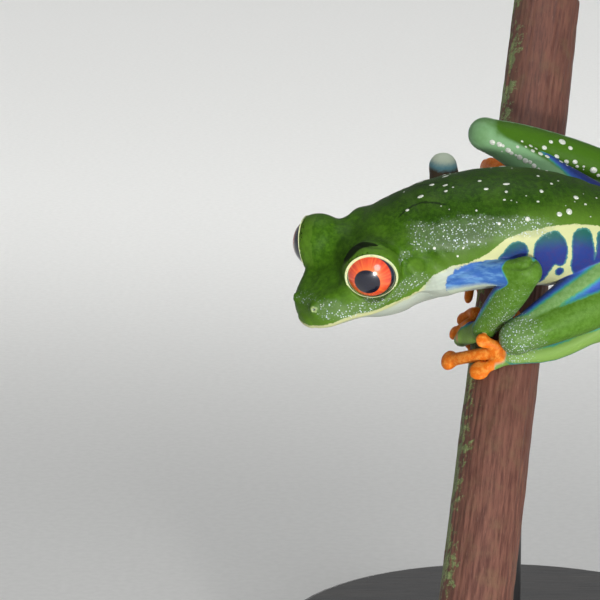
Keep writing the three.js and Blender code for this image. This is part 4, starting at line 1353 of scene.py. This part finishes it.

# ---- Frog: warts -----------------------------------------------------------------------------
# Small raised white warts over the back, the shoulder and the outside of the right leg. Each is a
# low dome of the same silicone, cast in place, so it stands a tenth of a millimetre proud.
# On the back: (ahead, degrees round the trunk, half length, half width).
BACK_WARTS = [
    (9.8, 100, 0.61, 0.27), (11.9, 85, 0.47, 0.34), (10.3, 76, 0.47, 0.27), (9.4, 69, 0.2, 0.2),
    (10.4, 65, 0.34, 0.27), (13.7, 65, 0.54, 0.34), (15.6, 45, 0.34, 0.27), (5.8, 73, 0.34, 0.27),
    (5.2, 60, 0.41, 0.27), (2.4, 65, 0.61, 0.27), (2.6, 55, 0.27, 0.27), (3.0, 46, 0.27, 0.2),
    (2.1, 45, 0.2, 0.14), (1.4, 43, 0.14, 0.14), (6.8, 36, 0.2, 0.2), (-2.2, 56, 0.34, 0.34),
    (-2.3, 80, 0.27, 0.27), (-3.9, 69, 0.27, 0.27), (-5.0, 76, 0.2, 0.2), (-1.5, 44, 0.27, 0.2),
    (0.0, 50, 0.2, 0.14), (-7.0, 53, 0.47, 0.41), (-6.7, 47, 0.2, 0.14), (-8.2, 45, 0.27, 0.2),
    (-5.3, 41, 0.14, 0.14), (-5.7, 35, 0.54, 0.54), (-4.3, 32, 0.47, 0.41), (0.1, 27, 0.41, 0.41),
    (3.9, 23, 0.27, 0.27), (3.4, 105, 0.2, 0.2), (0.8, 98, 0.2, 0.2), (12.4, -1, 0.27, 0.27),
    (8.6, 0, 0.2, 0.2), (9.3, -7, 0.2, 0.2), (11.3, 44, 0.2, 0.14), (14.0, 115, 0.2, 0.14),
    (15.4, 97, 0.2, 0.2), (8.3, 106, 0.2, 0.14), (10.3, 39, 0.14, 0.14), (15.1, 5, 0.2, 0.14),
    (-8.2, 60, 0.14, 0.14), (-10.1, 59, 0.2, 0.2), (-8.7, 31, 0.2, 0.14), (9.7, 20, 0.14, 0.14),
]
# On the right leg: (share of the way along, degrees round it, radius).
LEG_WARTS = {
    "shank": [
        (0.352, 67, 0.35), (0.417, 82, 0.4), (0.465, 87, 0.35), (0.50, 81, 0.35),
        (0.513, 92, 0.25), (0.536, 87, 0.2), (0.539, 96, 0.15), (0.575, 90, 0.5),
        (0.598, 103, 0.3), (0.377, 45, 0.3), (0.429, 34, 0.5), (0.467, 46, 0.33),
    ],
    "thigh": [
        (0.881, 89, 0.4), (0.818, 96, 0.4), (0.792, 99, 0.25), (0.745, 95, 0.4),
        (0.724, 93, 0.3), (0.7, 95, 0.2), (0.678, 96, 0.4), (0.648, 97, 0.4),
        (0.628, 101, 0.3), (0.606, 98, 0.35), (0.583, 98, 0.2), (0.777, 79, 0.15),
        (0.713, 156, 0.2), (0.715, 124, 0.25), (0.682, 143, 0.2), (0.665, 162, 0.3),
        (0.646, 143, 0.3), (0.641, 165, 0.25), (0.613, 150, 0.35), (0.583, 156, 0.35),
        (0.528, 177, 0.3), (0.5, 174, 0.2),
    ],
}
WART_RISE = 0.45  # a wart's height as a share of its half width
WART_SUNK = 0.04
WART_DULL = (0.45, 0.50, 0.42)
WART_WHITE = (0.68, 0.69, 0.64)
skin_tree = BVHTree.FromPolygons([Vector(p) for p in skin_spots], skin_faces)
wart_spots, wart_faces = [], []


def raise_wart(start, way, lie, long, wide):
    """Sets a low dome where a line from inside the body leaves the skin."""
    spot, normal, _, _ = skin_tree.ray_cast(Vector(start), Vector(way))
    if spot is None:
        return
    spot, normal = np.array(spot), np.array(normal)
    along = unit(np.array(lie) - normal * (normal @ np.array(lie)))
    side_way = np.cross(normal, along)
    first = len(wart_spots)
    rings, count = 5, 14
    tall = WART_RISE * min(long, wide)
    for i in range(rings):
        tilt = 0.5 * np.pi * i / rings
        for j in range(count):
            turn = 2 * np.pi * j / count
            flat = np.cos(tilt) * (long * np.cos(turn) * along + wide * np.sin(turn) * side_way)
            wart_spots.append(spot + flat + normal * (tall * np.sin(tilt) - WART_SUNK))
    wart_spots.append(spot + normal * (tall - WART_SUNK))
    top = len(wart_spots) - 1
    wart_faces.extend(tuple(first + v for v in f) for f in ring_grid(rings, count))
    for j in range(count):
        wart_faces.append((top - count + j, top - count + (j + 1) % count, top))
    wart_faces.append(tuple(first + count - 1 - j for j in range(count)))


for right_side in (False, True):
    for far, degrees, long, wide in BACK_WARTS:
        if right_side and degrees > 70:
            continue
        turn = np.radians(176 - degrees if right_side else degrees)
        far = far + 0.7 * np.sin(5 * degrees) if right_side else far
        way = np.cos(turn) * trunk_left + np.sin(turn) * trunk_up
        raise_wart(trunk_at + trunk_fore * far, way, trunk_fore, 0.85 * long, 0.85 * wide)
for name, marks in LEG_WARTS.items():
    line = limbs[name, -1]
    for share, degrees, size in marks:
        places = np.linspace(0, 1, len(line))
        at = np.array([np.interp(share, places, line[:, k]) for k in range(8)])
        along = unit(line[-1, :3] - line[0, :3])
        up = unit(at[5:8] - along * (at[5:8] @ along))
        turn = np.radians(degrees)
        way = np.sin(turn) * up + np.cos(turn) * np.cross(up, along)
        raise_wart(at[:3], way, along, 1.1 * size, 0.9 * size)
warts = mesh_from("warts", np.array(wart_spots) * MM, wart_faces)
pearl = Finish("wart")
pearl.surface({
    "Base Color": pearl.lay(WART_DULL, WART_WHITE, pearl.noise(4.0), 0.35, 0.7),
    "Roughness": pearl.step(pearl.noise(9.0), 0.3, 0.7, 0.3, 0.5),
    "Coat Weight": 0.3,
    "Normal": pearl.bump(pearl.noise(14.0), 0.2, 0.03),
})
warts.data.materials.append(pearl.material)
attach(warts, "root")

# ---- Perch: the cut stem -----------------------------------------------------------------------
# A short length of a maroon plant stem, cut square at both ends. Its rind is ribbed lengthwise and
# lichen grows along the left side. It is cast in resin round the top of the rod.
BARK_ROWS, BARK_ROUND = 150, 240
BEVEL = 0.5
BEVEL_SLOPE = 0.8
STEM_TAIL = 4.5  # how far it goes on below the low mark
RIND_IN = 0.10
RIB_TALL = 0.045
DENT_DEEP = 0.02
PITH_SUNK = 0.05
MAROON_DEEP = (0.080, 0.026, 0.018)
MAROON = (0.185, 0.075, 0.050)
TAN = (0.16, 0.090, 0.048)
FIBRE_PALE = (0.34, 0.20, 0.15)
FIBRE_DARK = (0.030, 0.012, 0.010)
LICHEN_DEEP = (0.12, 0.17, 0.045)
LICHEN_PALE = (0.30, 0.34, 0.16)


def wave(seed, x, y):
    """A smooth random ripple, the same in each run."""
    draw = np.random.default_rng(seed)
    total = 0
    for _ in range(14):
        fx, fy, phase = draw.uniform(0.2, 1), draw.integers(3, 40), draw.uniform(0, 2 * np.pi)
        total = total + np.sin(fx * x + fy * y + phase) / 14**0.5
    return total


bark_long = STEM_TAIL + stem_length
middle = np.linspace(BEVEL, bark_long - BEVEL, BARK_ROWS - 4)
marks = np.concatenate([[0.0, BEVEL / 2], middle, [bark_long - BEVEL / 2, bark_long]])
turns = np.linspace(0, 2 * np.pi, BARK_ROUND, endpoint=False)
run_grid, turn_grid = np.meshgrid(marks, turns, indexing="ij")
ribs = wave(3, 0.12 * run_grid, turn_grid) + 0.6 * wave(5, 0.5 * run_grid, turn_grid)
dents = wave(8, 2.2 * run_grid, 0.3 * turn_grid)
relief = RIB_TALL * np.clip(ribs, -2, 2) + DENT_DEEP * np.clip(dents, -2, 2)
chamfer = np.maximum(BEVEL - run_grid, 0) + np.maximum(run_grid - (bark_long - BEVEL), 0)
bark_radius = STEM_RADIUS - RIND_IN + relief - BEVEL_SLOPE * chamfer
outward = np.cos(turn_grid)[..., None] * stem_near + np.sin(turn_grid)[..., None] * stem_left
bark_spots = stem_low + (run_grid - STEM_TAIL)[..., None] * stem_axis
bark_spots = bark_spots + outward * bark_radius[..., None]
spots = bark_spots.reshape(-1, 3)
faces = [f[::-1] for f in ring_grid(BARK_ROWS, BARK_ROUND)]
for way, row in ((1, 0), (-1, BARK_ROWS - 1)):  # the cut ends, with the pith a little sunk
    edge = bark_spots[row]
    inner = row * BARK_ROUND
    for share in (0.75, 0.5, 0.25):
        ring = edge.mean(0) + (edge - edge.mean(0)) * share + PITH_SUNK * stem_axis * way
        first = len(spots)
        spots = np.vstack([spots, ring])
        for j in range(BARK_ROUND):
            k = (j + 1) % BARK_ROUND
            if way > 0:
                faces.append((inner + k, first + k, first + j, inner + j))
            else:
                faces.append((first + j, first + k, inner + k, inner + j))
        inner = first
    faces.append([inner + j for j in range(BARK_ROUND)][::-way])
bark = mesh_from("stem_bark", spots * MM, faces)
rind = Finish("rind")
up_stem = rind.vector("DOT_PRODUCT", rind.mm, tuple(stem_axis))
from_axis = rind.vector("SUBTRACT", rind.mm, tuple(stem_low))
to_left = rind.vector("DOT_PRODUCT", from_axis, tuple(stem_left))
to_near = rind.vector("DOT_PRODUCT", from_axis, tuple(stem_near))
drawn_out = {0: rind.times(up_stem, 0.10), 1: to_left, 2: to_near}
strand_place = rind.node("ShaderNodeCombineXYZ", drawn_out).outputs[0]
strands = rind.noise(2.6, 5, 0.65, strand_place)
fibres = rind.noise(8.0, 4, 0.6, strand_place)
rind_tone = rind.lay(MAROON_DEEP, MAROON, strands, 0.3, 0.7)
rind_tone = rind.lay(rind_tone, TAN, rind.noise(0.35, 4, 0.6), 0.45, 0.75, 0, 0.6)
rind_tone = rind.lay(rind_tone, FIBRE_PALE, fibres, 0.6, 0.8, 0, 0.5)
rind_tone = rind.lay(rind_tone, FIBRE_DARK, fibres, 0.2, 0.4, 0.6, 0)
crust = rind.sum(rind.noise(1.1, 6, 0.7), rind.step(rind.noise(0.22, 2), 0.35, 0.65, -0.12, 0.10))
crust = rind.sum(crust, rind.step(to_left, 1.0, 4.8, -0.38, 0.13))
lichen = rind.step(crust, 0.55, 0.66)
lichen_tone = rind.lay(LICHEN_DEEP, LICHEN_PALE, rind.noise(6.0), 0.4, 0.65)
rough_relief = rind.bump(fibres, 0.4, 0.06, rind.bump(strands, 0.5, 0.15))
rind.surface({
    "Base Color": rind.mix(lichen, rind_tone, lichen_tone),
    "Roughness": rind.step(strands, 0.3, 0.7, 0.5, 0.75),
    "Normal": rind.bump(lichen, 0.4, 0.12, rough_relief),
})
bark.data.materials.append(rind.material)
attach(bark, "root")
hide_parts("perch_stem")

# ---- Stand: rod and base -------------------------------------------------------------------------
# A satin black steel rod let into the stem from below, and a round turned base of wood under black
# lacquer. The rod is pressed into the base.
SATIN_BLACK = ((0.012, 0.012, 0.013), (0.022, 0.022, 0.023))
LACQUER_BLACK = ((0.010, 0.009, 0.008), (0.026, 0.021, 0.017))
satin = Finish("rod_paint")
satin_grain = satin.noise(12.0, 3)
satin.surface({
    "Base Color": satin.lay(*SATIN_BLACK, satin_grain, 0.3, 0.7),
    "Roughness": satin.step(satin_grain, 0.3, 0.7, 0.32, 0.42),
    "Normal": satin.bump(satin_grain, 0.15, 0.03),
})
lacquer = Finish("base_lacquer")
wood_grain = lacquer.noise(0.35, 5, 0.6, stretch=(0.12, 1.0, 1.0))
pores = lacquer.noise(3.0, 4, 0.6, stretch=(0.06, 1.0, 1.0))
lacquer.surface({
    "Base Color": lacquer.lay(*LACQUER_BLACK, wood_grain, 0.35, 0.65),
    "Roughness": lacquer.step(pores, 0.3, 0.7, 0.25, 0.42),
    "Coat Weight": 0.5,
    "Coat Roughness": 0.12,
    "Normal": lacquer.bump(pores, 0.25, 0.05),
})
for name, finish in (("stand_rod", satin), ("stand_base", lacquer)):
    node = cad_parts[name]
    node.data.materials.clear()
    node.data.materials.append(finish.material)

# ---- Setting: floor, light and camera ---------------------------------------------------------
# A plain pale floor and soft studio lamps. The camera stands where the model is seen from its
# left side, a little from above.
FLOOR_TONES = ((0.80, 0.80, 0.78), (0.84, 0.84, 0.82))
FLOOR_HALF = 3  # metres
floor_mesh = bpy.data.meshes.new("floor")
corners = [(x * FLOOR_HALF, y * FLOOR_HALF, 0) for x, y in ((-1, -1), (1, -1), (1, 1), (-1, 1))]
floor_mesh.from_pydata(corners, [], [(0, 1, 2, 3)])
floor = bpy.data.objects.new("floor", floor_mesh)
bpy.context.scene.collection.objects.link(floor)
paper = Finish("pale_floor")
paper_grain = paper.noise(0.8, 4)
paper.surface({
    "Base Color": paper.lay(*FLOOR_TONES, paper_grain, 0.3, 0.7),
    "Roughness": paper.step(paper_grain, 0.3, 0.7, 0.65, 0.75),
})
floor_mesh.materials.append(paper.material)


def lamp(name, place, target, size, watts, colour, spread=180):
    """A round soft lamp, in metres and watts, aimed at its target."""
    light = bpy.data.lights.new(name, "AREA")
    light.shape = "DISK"
    light.size = size
    light.energy = watts
    light.color = colour
    light.spread = np.radians(spread)
    made = bpy.data.objects.new(name, light)
    made.location = place
    made.rotation_euler = (Vector(target) - Vector(place)).to_track_quat("-Z", "Y").to_euler()
    bpy.context.scene.collection.objects.link(made)


frog_at = (0, -0.005, 0.062)
lamp("key_lamp", (0.06, -0.40, 0.03), frog_at, 0.05, 1.35, (1, 0.98, 0.95))
lamp("fill_lamp", (0.22, -0.55, 0.26), frog_at, 0.3, 1.3, (0.97, 0.98, 1))
lamp("top_lamp", (0.0, 0.10, 0.65), frog_at, 0.4, 0.9, (1, 1, 1))
lamp("floor_lamp", (0.0, 0.66, 0.9), (0.0, 0.66, 0.0), 0.9, 1.1, (1, 1, 1), 25)
bpy.context.scene.view_settings.view_transform = "Standard"
world = bpy.data.worlds.new("studio")
world.use_nodes = True
background = world.node_tree.nodes["Background"].inputs
background["Color"].default_value = (0.84, 0.85, 0.86, 1)
background["Strength"].default_value = 0.34
bpy.context.scene.world = world

CAMERA_AT = (-29.03, -417.23, 143.71)
CAMERA_DOWN = 12  # degrees below level
camera_data = bpy.data.cameras.new("camera")
camera_data.sensor_width = 36
camera_data.sensor_fit = "HORIZONTAL"
camera_data.lens = 186.5
camera_data.clip_start = 0.01
camera_data.clip_end = 20
camera = bpy.data.objects.new("camera", camera_data)
camera.location = Vector(CAMERA_AT) * MM
camera.rotation_euler = (np.radians(90 - CAMERA_DOWN), 0, 0)
bpy.context.scene.collection.objects.link(camera)
bpy.context.scene.camera = camera
